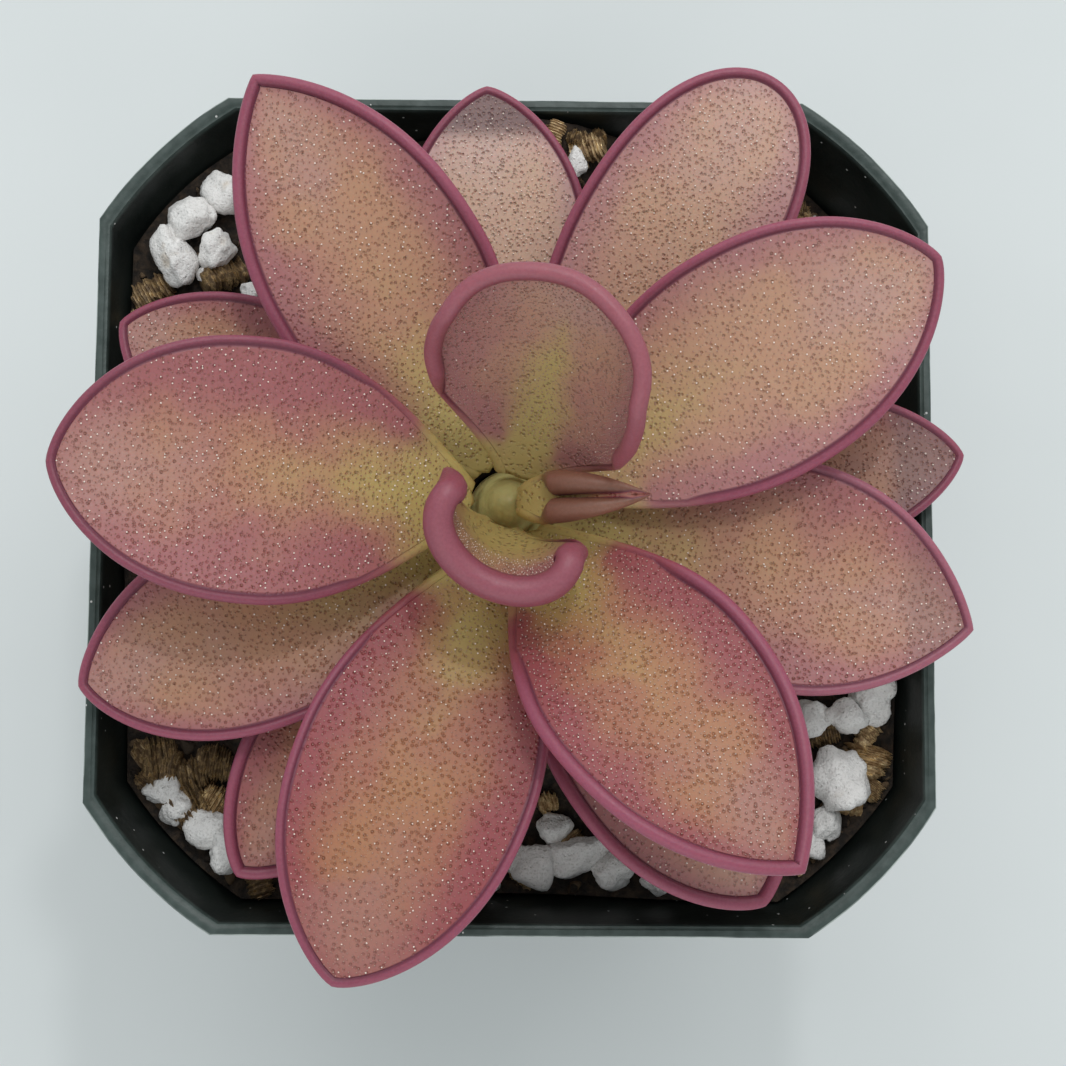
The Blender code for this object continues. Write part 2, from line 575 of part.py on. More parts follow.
def add_grain(row, is_perlite, chance, surface, leaf_points, collection):
    """A lump of perlite or a block of vermiculite, half sunk, inside the pot and below the leaves."""
    x, y, wide, long = (value * MM for value in row)
    high = GRAIN_HEIGHT_OF_LESSER * min(wide, long) + GRAIN_HEIGHT_OF_GREATER * max(wide, long)
    reach = GRAIN_UNEVEN[1] * max(wide, long) / 2 + CLEARANCE
    inner = inner_half_width(POT_HEIGHT + soil_height(x, y))
    x, y = (min(max(value, reach - inner), inner - reach) for value in (x, y))
    corner = (abs(x) + abs(y)) / (inner * (2 - CORNER_CUT / (POT_WIDTH / 2)) - reach * math.sqrt(2))
    if corner > 1:
        x, y = x / corner, y / corner
    ground = surface.ray_cast((x, y, 2 * POT_HEIGHT), (0, 0, -1))[0]
    height = ground.z + GRAIN_LIFT * high
    turns = Euler([chance.uniform(-GRAIN_TILT, GRAIN_TILT) for _ in range(3)]).to_matrix().to_4x4()
    uneven = [chance.uniform(*GRAIN_UNEVEN) for _ in range(ICO_POINTS)]
    nearest = np.linalg.norm(leaf_points - (x, y, height), axis=1).min()
    if nearest < reach + 2 * CLEARANCE:
        return
    shape = bmesh.new()
    if is_perlite:
        bmesh.ops.create_icosphere(shape, subdivisions=2 if min(row[2:]) > ROUND_GRAIN else 1, radius=0.5)
    else:
        bmesh.ops.create_cube(shape, size=FLAKE_BLOCK)
    for vertex, factor in zip(shape.verts, uneven):
        vertex.co *= factor
    place = Matrix.Translation((x, y, height)) @ turns @ Matrix.Diagonal((wide, long, high, 1))
    bmesh.ops.transform(shape, matrix=place, verts=shape.verts)
    mesh = bpy.data.meshes.new("grain")
    shape.to_mesh(mesh)
    shape.free()
    collection.objects.link(bpy.data.objects.new("grain", mesh))


def clear_scene():
    for item in list(bpy.data.objects):
        bpy.data.objects.remove(item, do_unlink=True)


clear_scene()
parts = bpy.data.collections.new("butterwort")
cutters = bpy.data.collections.new("cutters")
bpy.context.scene.collection.children.link(parts)
bpy.context.scene.collection.children.link(cutters)

make_pot(parts, cutters)
make_crown(parts)
leaf_objects = []
for leaf_name in LEAF_ROWS:
    flesh = material(leaf_name + "_flesh", (0.48, 0.24, 0.17), 0.5)
    leaf_objects.append(make_leaf(leaf_name, parts, flesh))
make_mix(parts, leaf_objects)
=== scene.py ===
"""Looks of a potted butterwort: pot, growing mix, crown, sixteen leaves and their glands."""
import math

import bmesh
import bpy
import numpy as np
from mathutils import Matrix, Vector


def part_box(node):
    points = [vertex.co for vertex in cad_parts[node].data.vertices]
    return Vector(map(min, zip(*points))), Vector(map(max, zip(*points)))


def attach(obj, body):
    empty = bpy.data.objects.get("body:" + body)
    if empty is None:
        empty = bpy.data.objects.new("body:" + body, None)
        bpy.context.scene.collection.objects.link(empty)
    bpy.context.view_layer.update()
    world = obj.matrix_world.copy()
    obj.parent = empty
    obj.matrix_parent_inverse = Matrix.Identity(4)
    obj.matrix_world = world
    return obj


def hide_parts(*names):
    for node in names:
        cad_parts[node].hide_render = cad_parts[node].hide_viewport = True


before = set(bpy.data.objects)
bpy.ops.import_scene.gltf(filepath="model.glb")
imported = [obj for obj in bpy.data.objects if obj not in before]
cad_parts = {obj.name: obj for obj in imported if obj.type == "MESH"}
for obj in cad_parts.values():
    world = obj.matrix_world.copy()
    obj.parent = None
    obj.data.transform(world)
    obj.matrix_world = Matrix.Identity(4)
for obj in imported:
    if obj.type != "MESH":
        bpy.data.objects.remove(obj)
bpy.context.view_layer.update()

MM = 0.001

# Table, light and camera. The pot stands on a pale matt sheet in soft light that comes mostly from
# the far side, and the camera looks almost straight down from 180 mm above the rim.
RIM_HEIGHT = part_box("pot")[1].z
PHOTO_SIDE = 1066
FOCAL_PIXELS = 2007
SENSOR = 36.0
CAMERA_PLACE = (-0.3 * MM, -20.5 * MM, RIM_HEIGHT + 180 * MM)
CAMERA_TURN = (5.827, -0.718, 0.370)


def soft_light(name, place, width, watts, colour):
    """A square lamp of that width, turned to face the plant."""
    lamp = bpy.data.lights.new(name, "AREA")
    lamp.size = width
    lamp.energy = watts
    lamp.color = colour
    holder = bpy.data.objects.new(name, lamp)
    bpy.context.scene.collection.objects.link(holder)
    holder.location = place
    aim = holder.location.copy()
    aim.z -= RIM_HEIGHT
    holder.rotation_euler = aim.to_track_quat("Z", "Y").to_euler()


camera = bpy.data.objects.new("camera", bpy.data.cameras.new("camera"))
bpy.context.scene.collection.objects.link(camera)
bpy.context.scene.camera = camera
camera.data.sensor_width = SENSOR
camera.data.lens = FOCAL_PIXELS / PHOTO_SIDE * SENSOR
camera.data.clip_start = 1 * MM
camera.location = CAMERA_PLACE
camera.rotation_euler = [math.radians(angle) for angle in CAMERA_TURN]

soft_light("window", (0.06, 0.34, 0.45), 0.60, 1.45, (1.0, 0.99, 0.98))
soft_light("room_side", (-0.08, -0.46, 0.36), 0.60, 0.78, (1.0, 0.99, 0.97))
soft_light("spark", (0.06, 0.20, 0.50), 0.03, 0.30, (1.0, 1.0, 1.0))
world = bpy.data.worlds.new("room")
world.use_nodes = True
world.node_tree.nodes["Background"].inputs["Color"].default_value = (0.93, 0.99, 1.0, 1)
world.node_tree.nodes["Background"].inputs["Strength"].default_value = 0.58
bpy.context.scene.world = world
bpy.context.scene.view_settings.view_transform = "Standard"


class Signal:
    """A value that a finish works out over a surface. Sums, differences, products and powers of
    signals and numbers add Math nodes to the finish."""

    def __init__(self, tree, socket=None):
        self.tree = tree
        self.socket = socket

    def node(self, kind, settings, inputs, output=0):
        """Add a node, its settings first and then its inputs, and return one of its outputs."""
        made = self.tree.nodes.new(kind)
        for name, value in settings.items():
            setattr(made, name, value)
        for name, value in inputs.items():
            socket = made.inputs[name]
            if isinstance(value, Signal):
                self.tree.links.new(value.socket, socket)
            elif socket.type == "RGBA":
                socket.default_value = (*value, 1.0)
            else:
                socket.default_value = value
        return Signal(self.tree, made.outputs[output])

    def maths(self, operation, first, second):
        return self.node("ShaderNodeMath", {"operation": operation}, {0: first, 1: second})

    def __add__(self, other):
        return self.maths("ADD", self, other)

    __radd__ = __add__

    def __sub__(self, other):
        return self.maths("SUBTRACT", self, other)

    def __rsub__(self, other):
        return self.maths("SUBTRACT", other, self)

    def __mul__(self, other):
        return self.maths("MULTIPLY", self, other)

    __rmul__ = __mul__

    def __pow__(self, other):
        return self.maths("POWER", self, other)

    def rise(self, low, high):
        """0 below the low value, 1 above the high one, and an even S between them."""
        settings = {"interpolation_type": "SMOOTHSTEP"}
        return self.node("ShaderNodeMapRange", settings, {"Value": self, 1: low, 2: high})

    def blend(self, first, second):
        """The first colour where this is 0 and the second where it is 1."""
        return self.node("ShaderNodeMix", {"data_type": "RGBA"}, {0: self, 6: first, 7: second}, 2)

    def place(self):
        return self.node("ShaderNodeTexCoord", {}, {}, "Object")

    def value(self, name):
        """A value that is kept at each point of the mesh."""
        return self.node("ShaderNodeAttribute", {"attribute_name": name}, {}, "Fac")

    def noise(self, size, detail=3.0):
        """Cloudy noise, about 0.3 to 0.7, with patches of that size in millimetres."""
        inputs = {"Vector": self.place(), "Scale": 1 / (size * MM), "Detail": detail}
        return self.node("ShaderNodeTexNoise", {}, inputs)

    def cells(self, size, output="Distance"):
        """Distance from the middle of the nearest of many cells, or a number for each cell."""
        inputs = {"Vector": self.place(), "Scale": 1 / (size * MM)}
        return self.node("ShaderNodeTexVoronoi", {}, inputs, output)


def finish(name, **even):
    """A material with its even values set, its shader, and a signal to work from."""
    made = bpy.data.materials.new(name)
    made.use_nodes = True
    shader = made.node_tree.nodes["Principled BSDF"]
    for socket, value in even.items():
        shader.inputs[socket.replace("_", " ")].default_value = value
    return made, shader, Signal(made.node_tree)


def feed(shader, socket, signal):
    signal.tree.links.new(signal.socket, shader.inputs[socket])


def emboss(shader, height, depth):
    """Raise the surface where the height is 1, by a depth in millimetres."""
    inputs = {"Strength": 1.0, "Distance": depth * MM, "Height": height}
    feed(shader, "Normal", height.node("ShaderNodeBump", {}, inputs))


bpy.ops.mesh.primitive_plane_add(size=3.0)
table = bpy.context.object
table.name = "table"
sheet, shader, start = finish("pale_sheet", Roughness=0.8)
sheet_colour = start.noise(60).rise(0.3, 0.7).blend((0.69, 0.725, 0.730), (0.72, 0.755, 0.760))
feed(shader, "Base Color", sheet_colour)
table.data.materials.append(sheet)


# Pot: one moulded shell of dark green plastic, square with bowed cut corners. Its walls lean out
# from a floor with eight drain holes to a stiff band, whose top is flat with a fine inner step.
POT_WIDTH = 76.0 * MM
POT_BASE_WIDTH = 53.0 * MM
POT_WALL = 1.1 * MM
POT_FLOOR = 1.4 * MM
CORNER_CUT = 11.5 * MM
CORNER_BULGE = 0.9 * MM
BAND_HEIGHT = 9.0 * MM
BAND_STEP = 0.9 * MM
EDGE_ROUND = 0.22 * MM
CORNER_POINTS = 13
FLAT_POINTS = 12
DRAIN_HOLE_COUNT = 8
DRAIN_HOLE_WIDTH = 6.0 * MM
DRAIN_HOLE_REACH = 17.0 * MM
CORNER_HOLE_REACH = 1.25
RIM_TURN = slice(7, 9)      # rings of the profile on the outer edge of the rim
POT_SHARP = 34
WALL_DARK, WALL_LIGHT = (0.007, 0.010, 0.009), (0.013, 0.017, 0.015)
# The rim's top is lighter than the walls: partly wear, partly painted reflection of the light on the flat
# top.
RIM_DARK, RIM_LIGHT = (0.036, 0.054, 0.049), (0.062, 0.085, 0.079)
# Pale grey-green painted highlight: a thin bright line along the rounded outer edge of the rim.
PAINTED_EDGE_HIGHLIGHT = (0.50, 0.56, 0.53)
DUST = (0.62, 0.63, 0.62)
DUST_SPACING = 1.3


def pot_outline(half_width):
    """Points round the pot: a shallow arc at each cut corner, and even steps along each flat.

    The arc through both ends of a corner's cut, with a bulge b over a chord c, has the radius
    (c^2 / 4 + b^2) / 2b. Cut and bulge shrink with the width.
    """
    scale = half_width / (POT_WIDTH / 2)
    cut, bulge = CORNER_CUT * scale, CORNER_BULGE * scale
    chord = cut * math.sqrt(2)
    radius = (chord * chord / 4 + bulge * bulge) / (2 * bulge)
    reach = math.sqrt(2) * (half_width - cut / 2) - (radius - bulge)
    spread = math.asin(chord / 2 / radius) * np.linspace(-1, 1, CORNER_POINTS)
    middle = math.pi / 4 + math.pi / 2 * np.arange(4)[:, None]
    arc_x = reach * np.cos(middle) + radius * np.cos(middle + spread)
    arc_y = reach * np.sin(middle) + radius * np.sin(middle + spread)
    share = np.linspace(0, 1, FLAT_POINTS + 2)[1:-1]
    flat_x = arc_x[:, -1:] + (np.roll(arc_x[:, 0], -1)[:, None] - arc_x[:, -1:]) * share
    flat_y = arc_y[:, -1:] + (np.roll(arc_y[:, 0], -1)[:, None] - arc_y[:, -1:]) * share
    return np.stack([np.hstack([arc_x, flat_x]).ravel(), np.hstack([arc_y, flat_y]).ravel()], 1)


def grid_faces(rows, columns, around=False):
    """Four-cornered faces of a grid of points, row by row. Around joins the last column to the first."""
    index = np.arange(rows * columns).reshape(rows, columns)
    if around:
        index = np.hstack([index, index[:, :1]])
    corners = [index[:-1, :-1], index[:-1, 1:], index[1:, 1:], index[1:, :-1]]
    return np.stack(corners, -1).reshape(-1, 4)


def put_piece(name, points, faces, dress, slot, sharp_angle=None, **values):
    """A mesh from points and lists of faces, dressed, riding on the pot's body."""
    mesh = bpy.data.meshes.new(name)
    mesh.vertices.add(len(points))
    mesh.vertices.foreach_set("co", np.asarray(points, np.float32).ravel())
    corners = np.concatenate([np.asarray(group).ravel() for group in faces])
    sizes = np.concatenate([np.full(len(group), np.shape(group)[1]) for group in faces])
    mesh.loops.add(len(corners))
    mesh.loops.foreach_set("vertex_index", corners.astype(np.int32))
    mesh.polygons.add(len(sizes))
    starts = np.concatenate([[0], np.cumsum(sizes)[:-1]])
    mesh.polygons.foreach_set("loop_start", starts.astype(np.int32))
    mesh.update(calc_edges=True)
    for key, numbers in values.items():
        kept = mesh.attributes.new(key, "FLOAT", "POINT")
        kept.data.foreach_set("value", np.asarray(numbers, np.float32))
    mesh.shade_smooth()
    if sharp_angle is not None:
        mesh.set_sharp_from_angle(angle=math.radians(sharp_angle))
    piece = bpy.data.objects.new(name, mesh)
    bpy.context.scene.collection.objects.link(piece)
    mesh.materials.append(dress)
    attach(piece, "root")
    return piece


def wall_half_width(height):
    top = POT_WIDTH / 2 - BAND_STEP
    return POT_BASE_WIDTH / 2 + (top - POT_BASE_WIDTH / 2) * height / RIM_HEIGHT


def inner_half_width(height):
    top = POT_WIDTH / 2 - POT_WALL
    foot = POT_BASE_WIDTH / 2 - POT_WALL
    return foot + (top - foot) * height / RIM_HEIGHT


def pot_profile():
    """Half-widths and heights from the foot, up the outside, over the rim and down to the floor."""
    rim = POT_WIDTH / 2
    band_foot = RIM_HEIGHT - BAND_HEIGHT
    fine_step = 0.12 * MM
    outside = [(POT_BASE_WIDTH / 2 - EDGE_ROUND, 0), (POT_BASE_WIDTH / 2, EDGE_ROUND),
               (wall_half_width(band_foot - EDGE_ROUND), band_foot - EDGE_ROUND),
               (wall_half_width(band_foot) + EDGE_ROUND, band_foot),
               (rim - EDGE_ROUND, band_foot), (rim, band_foot + EDGE_ROUND)]
    turn = np.radians(np.linspace(0, 90, 5))[:, None]
    over = (rim, RIM_HEIGHT) + EDGE_ROUND * (np.hstack([np.cos(turn), np.sin(turn)]) - 1)
    step_at = rim - POT_WALL + 0.34 * MM
    inside = [(step_at + fine_step, RIM_HEIGHT - 0.02 * MM), (step_at, RIM_HEIGHT - fine_step),
              (rim - POT_WALL + fine_step, RIM_HEIGHT - fine_step * 1.2),
              (rim - POT_WALL, RIM_HEIGHT - 3 * fine_step),
              (inner_half_width(POT_FLOOR + 1 * MM), POT_FLOOR + 1 * MM),
              (inner_half_width(POT_FLOOR) - 0.6 * MM, POT_FLOOR)]
    return np.vstack([outside, over, inside])


profile = pot_profile()
around = 4 * (CORNER_POINTS + FLAT_POINTS)
rings = np.stack([np.column_stack([pot_outline(width), np.full(around, height)])
                  for width, height in profile])
foot_cap = np.arange(around)[::-1][None]
# The rings on the rim's outer edge carry the painted highlight.
worn_rings = np.zeros((len(rings), around))
worn_rings[RIM_TURN] = 1.0
floor_cap = (np.arange(around) + (len(rings) - 1) * around)[None]

plastic, shader, start = finish("moulded_green", Specular_IOR_Level=0.35)
height = start.node("ShaderNodeSeparateXYZ", {}, {0: start.place()}, "Z")
# Lighter colour on the top of the rim: partly wear, partly painted reflection.
on_rim = height.rise(RIM_HEIGHT - 0.8 * MM, RIM_HEIGHT - 0.1 * MM)
cloud = start.noise(4)
wall_colour = cloud.rise(0.3, 0.7).blend(WALL_DARK, WALL_LIGHT)
rim_wear_and_sheen = start.noise(1.2).rise(0.25, 0.75).blend(RIM_DARK, RIM_LIGHT)
dust_spot = 1 - start.cells(DUST_SPACING).rise(0.06, 0.10)
dust_pick = start.node("ShaderNodeSeparateColor", {}, {0: start.cells(DUST_SPACING, "Color")})
dust_here = dust_pick.rise(0.66, 0.68)
dust = dust_spot * dust_here
# Painted highlight in patches along the rim's outer edge.
worn = start.value("worn") * start.noise(5).rise(0.35, 0.65)
plastic_colour = worn.blend(on_rim.blend(wall_colour, rim_wear_and_sheen), PAINTED_EDGE_HIGHLIGHT)
feed(shader, "Base Color", dust.blend(plastic_colour, DUST))
feed(shader, "Roughness", 0.30 + 0.22 * cloud)
emboss(shader, start.noise(0.7, 5) + dust * 0.8, 0.05)

pot_faces = [grid_faces(len(rings), around, True), foot_cap, floor_cap]
pot = put_piece("pot_shell", rings.reshape(-1, 3), pot_faces, plastic, "pot_plastic", POT_SHARP,
                worn=worn_rings.ravel())
shape = bmesh.new()
shape.from_mesh(pot.data)
bmesh.ops.recalc_face_normals(shape, faces=shape.faces)
shape.to_mesh(pot.data)
shape.free()
for turn in range(DRAIN_HOLE_COUNT):
    angle = 2 * math.pi * turn / DRAIN_HOLE_COUNT
    reach = DRAIN_HOLE_REACH * (1 if turn % 2 == 0 else CORNER_HOLE_REACH)
    bpy.ops.mesh.primitive_cylinder_add(vertices=40, radius=DRAIN_HOLE_WIDTH / 2, depth=4 * POT_FLOOR,
                                        location=(reach * math.cos(angle), reach * math.sin(angle), 0))
    cutter = bpy.context.object
    cut = pot.modifiers.new("drain_hole", "BOOLEAN")
    cut.operation = "DIFFERENCE"
    cut.object = cutter
    bpy.context.view_layer.update()
    pot.data = bpy.data.meshes.new_from_object(pot.evaluated_get(bpy.context.evaluated_depsgraph_get()))
    pot.modifiers.clear()
    bpy.data.objects.remove(cutter, do_unlink=True)
pot.data.set_sharp_from_angle(angle=math.radians(POT_SHARP))
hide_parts("pot")


# Growing mix: damp dark peat that fills the pot to an uneven surface, with lumps of popped perlite
# and blocks of layered vermiculite bedded in it, and finer crumbs between them.
PLANT_X = -0.3 * MM
SOIL_LEVEL = -6.6 * MM
SOIL_HOLE_RADIUS = 4.5 * MM
HOLE_DEPTH = 24.4 * MM
CLEARANCE = 0.3 * MM
SOIL_RINGS = 56
HASH_STEPS = np.array((374761393, 668265263, 1440662683))
HASH_SEED = 974634777
HASH_MIX = 1274126177
SOIL_HILLS = [
    (2, 36, 8, 6), (-34, 4, 13, 2.8), (-27, 25, 11, 2.3), (33, -6, 12, 1.2), (0, -34, 14, -3.6),
    (29, 29, 13, -3.6), (-27, -27, 11, -1.2), (27, -27, 10, -1.4),
]


def lumps(points, size, seed):
    """Smooth noise from -1 to 1: a random number at each corner of cubes of that size, blended
    across each cube by 3t^2 - 2t^3."""
    grid = points / size
    cell = np.floor(grid).astype(np.int64)
    part = grid - cell
    part = part * part * (3 - 2 * part)
    total = np.zeros(points.shape[:-1])
    for corner in range(8):
        shift = np.array([corner & 1, corner >> 1 & 1, corner >> 2])
        at = cell + shift
        mixed = (at * HASH_STEPS).sum(-1) + seed * HASH_SEED
        mixed = (mixed ^ (mixed >> 13)) * HASH_MIX
        mixed = (mixed ^ (mixed >> 16)) & 0xFFFF
        weight = np.prod(np.where(shift == 1, part, 1 - part), -1)
        total += weight * (mixed / 32767.5 - 1)
    return total


def soil_height(x, y):
    """Height of the bare mix: level, plus a round hill or dip at each listed place."""
    height = np.full(np.shape(x), RIM_HEIGHT + SOIL_LEVEL)
    for hill_x, hill_y, spread, rise in SOIL_HILLS:
        away = np.hypot(x - hill_x * MM, y - hill_y * MM) / (spread * MM)
        height += rise * MM * np.exp(-away * away)
    return height


edge_plan = pot_outline(inner_half_width(RIM_HEIGHT + SOIL_LEVEL))
edge_height = soil_height(edge_plan[:, 0], edge_plan[:, 1])
edge_scale = (inner_half_width(edge_height) - CLEARANCE) / inner_half_width(RIM_HEIGHT + SOIL_LEVEL)
edge_plan = edge_plan * edge_scale[:, None]
bearing = np.arctan2(edge_plan[:, 1], edge_plan[:, 0])
hole_plan = np.stack([PLANT_X + SOIL_HOLE_RADIUS * np.cos(bearing),
                      SOIL_HOLE_RADIUS * np.sin(bearing)], 1)
share = np.linspace(1, 0, SOIL_RINGS)[:, None, None]
plan = hole_plan + (edge_plan - hole_plan) * share
surface = np.dstack([plan, soil_height(plan[..., 0], plan[..., 1])])
rough = 0.35 * lumps(surface, 2.2 * MM, 3) + 0.25 * lumps(surface, 0.9 * MM, 4)
surface[..., 2] += (rough - 0.35) * MM * np.sin(math.pi * np.clip(share[..., 0] * 1.02, 0, 1)) ** 0.3
foot = np.column_stack([pot_outline(inner_half_width(POT_FLOOR + CLEARANCE) - CLEARANCE),
                        np.full(len(edge_plan), POT_FLOOR + CLEARANCE)])
pit = np.column_stack([hole_plan, np.full(len(hole_plan), RIM_HEIGHT - HOLE_DEPTH)])
rings = np.concatenate([foot[None], surface, pit[None]])
around = rings.shape[1]

peat, shader, start = finish("damp_peat", Roughness=0.85)
fleck = start.noise(0.8, 6)
feed(shader, "Base Color", fleck.rise(0.35, 0.7).blend((0.010, 0.007, 0.005), (0.050, 0.032, 0.019)))
emboss(shader, fleck, 0.5)
mix = put_piece("peat_bed", rings.reshape(-1, 3),
                [grid_faces(len(rings), around, True), np.arange(around)[::-1][None],
                 (np.arange(around) + (len(rings) - 1) * around)[None]], peat, "growing_mix", 60)
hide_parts("growing_mix")

# Grains that show between the leaves and the rim, in millimetres: place and both widths
PERLITE = [
    (-34.5, 24.5, 2.2, 6), (-31.5, 23.5, 4.6, 6), (-29.5, 27.5, 4.8, 4.2), (-27.5, 24.5, 3.7, 4),
    (-28, 30.5, 3.6, 4.4), (-28.5, 22, 2, 1.7), (11, 37.5, 3.5, 2.7), (5.5, 32.5, 2.3, 3.6),
    (31.5, 30, 2.5, 2.5), (29.5, 30, 1.5, 1.7), (-36.5, -26.5, 3.6, 2.8), (-33.5, -26.5, 1.8, 1.6),
    (-33, -29, 3.2, 3.7), (-28.5, -30, 4.8, 3.7), (-27.5, -33.5, 5.3, 5.3), (-1.5, -34.5, 1.5, 2.2),
    (2, -32, 4.9, 4.7), (4, -29, 3.6, 3.2), (6, -34, 7.2, 3.7), (9.5, -33, 4.6, 4),
    (13.5, -35.5, 3.2, 2.7), (28, -18.5, 4.1, 3.6), (31, -18.5, 4.1, 3.7), (33.5, -17.5, 3.3, 3.1),
    (36.5, -16.5, 4.2, 4), (30.5, -24, 5.8, 6), (30.5, -29, 3, 3.6), (29, -31.5, 3, 2.8),
]
VERMICULITE = [
    (-36, 20.5, 3.8, 3.1), (-33.5, 20, 2.7, 1.7), (-36, 18.5, 2.7, 1.7), (-27, 22, 4.4, 2.8),
    (3.5, 35, 3, 2), (6, 35.5, 2.7, 1.7), (7.5, 37, 1.8, 1.8), (6.5, 34, 3.6, 2.8),
    (28.5, 34.5, 2.2, 3.1), (28.5, 32, 2.5, 1.8), (28, 30, 2.6, 2.1), (33.5, 29, 3.5, 2.1),
    (-35.5, -23, 3, 5.3), (-33.5, -22.5, 1.9, 3.5), (-32, -23, 3, 3.8), (-33.5, -24.5, 2.1, 2.1),
    (-30, -26.5, 4.2, 3.8), (-31.5, -29, 2.3, 3), (-27.5, -23, 3.3, 3.7), (-27.5, -26.5, 2.6, 3.5),
    (-29.5, -24, 3, 3.2), (-23, -36, 3, 2.6), (1, -35, 3, 1.6), (6, -31, 3.5, 3.1),
    (3.5, -26.5, 1.8, 2), (29, -20, 3, 2.4), (33, -20, 2.8, 1.9), (34, -22.5, 3.1, 4.5),
    (34, -25.5, 2.1, 2.2), (32, -27, 3, 1.8), (29.5, -27, 2.1, 1.6), (29, -28.5, 1.2, 2),
    (27, -33, 4.3, 2),
]
PERLITE_LIFT = 0.40         # of its height, that a grain's middle stands above the mix
FLAKE_LIFT = 0.10
GRAIN_UNEVEN = 1.08         # widest part of a grain over its listed width
PERLITE_SIDES = 14
PLATES = 13
PLATE_CORNERS = 18
HIDDEN_GRAINS = 54
CRUMBS = 620
chance = np.random.default_rng(5)


def ball(subdivisions):
    """Points and triangles of a sphere of radius 1, split evenly from an icosahedron."""
    shape = bmesh.new()
    bmesh.ops.create_icosphere(shape, subdivisions=subdivisions, radius=1.0)
    points = np.array([vertex.co[:] for vertex in shape.verts])
    triangles = np.array([[vertex.index for vertex in face.verts] for face in shape.faces])
    shape.free()
    return points, triangles


def turned(points, angles):
    """The points turned about X, then Y, then Z by three angles in radians."""
    for axis, angle in enumerate(angles):
        one, two = (axis + 1) % 3, (axis + 2) % 3
        c, s = math.cos(angle), math.sin(angle)
        spun = points.copy()
        spun[..., one] = c * points[..., one] - s * points[..., two]
        spun[..., two] = s * points[..., one] + c * points[..., two]
        points = spun
    return points


def seat(x, y, wide, long):
    """Place on the mix for a grain of those widths, moved in from the pot's walls."""
    reach = GRAIN_UNEVEN * max(wide, long) / 2 + CLEARANCE
    inner = inner_half_width(soil_height(x, y))
    x, y = np.clip([x, y], reach - inner, inner - reach)
    beyond = (abs(x) + abs(y)) / (inner * (2 - CORNER_CUT / (POT_WIDTH / 2)) - reach * math.sqrt(2))
    if beyond > 1:
        x, y = x / beyond, y / beyond
    return np.array([x, y, soil_height(x, y)])


def popped(index, wide, long, high):
    """A lump of perlite: a block of rounded sides, knobbly and pitted, as wide as asked.

    With g the angle from a side's middle and d its distance, the radius is
    (sum of (cos g / d)^9)^(-1/9), and it stays under 1.15.
    """
    points, _ = ROUND_BALL
    middles = chance.normal(size=(PERLITE_SIDES, 3))
    middles /= np.linalg.norm(middles, axis=1)[:, None]
    facing = np.clip(points @ middles.T, 0, None) / chance.uniform(0.58, 1.0, PERLITE_SIDES)
    radius = ((facing ** 9).sum(1) + 1.15 ** -9) ** (-1 / 9)
    radius += 0.13 * lumps(points, 0.45, index) + 0.05 * lumps(points, 0.22, index + 20)
    radius -= 0.05 * np.abs(lumps(points, 0.12, index + 50))
    lump = points * radius[:, None]
    return lump / (lump.max(0) - lump.min(0)) * (wide, long, high)


def layered(wide, long, high):
    """A block of vermiculite: a stack of thin plates, each a little off the last, whose outline is a
    rounded rough square x^4 + y^4 = 1. The stack lies on its side."""
    angle = np.linspace(0, 2 * math.pi, PLATE_CORNERS, endpoint=False)
    corner = (np.cos(angle) ** 4 + np.sin(angle) ** 4) ** -0.25
    scale = np.repeat(chance.uniform(0.80, 1.05, PLATES), 3) * np.tile([0.84, 1.0, 0.97], PLATES)
    scale *= np.repeat(1 - 0.35 * np.abs(np.linspace(-1, 1, PLATES)) ** 5, 3)
    drift = np.repeat(chance.uniform(-0.06, 0.06, (PLATES, 2)), 3, 0)
    level = (np.arange(PLATES * 3) + np.tile([0.1, 0.25, -0.1], PLATES)) / (PLATES * 3 - 1) - 0.5
    ragged = 1 + 0.09 * np.repeat(chance.normal(size=(PLATES, PLATE_CORNERS)), 3, 0)
    block = np.stack([
        0.5 * corner * np.cos(angle) * scale[:, None] * ragged + drift[:, :1],
        0.5 * corner * np.sin(angle) * scale[:, None] * ragged + drift[:, 1:],
        np.broadcast_to(level[:, None], ragged.shape)], -1)
    block += 0.05 * np.sin(5 * level + chance.uniform(0, 6))[:, None, None] * np.array([1.0, 0.6, 0])
    block = np.stack([block[..., 2], block[..., 1], block[..., 0]], -1)
    return block.reshape(-1, 3) * (wide, long, high)


def gather(lots):
    """Points and faces of many bodies as one: lots holds (points, [faces]) with their own numbering."""
    offset, all_points, all_faces = 0, [], {}
    for points, groups in lots:
        for group in groups:
            all_faces.setdefault(group.shape[1], []).append(group + offset)
        all_points.append(points)
        offset += len(points)
    return np.vstack(all_points), [np.vstack(group) for group in all_faces.values()]


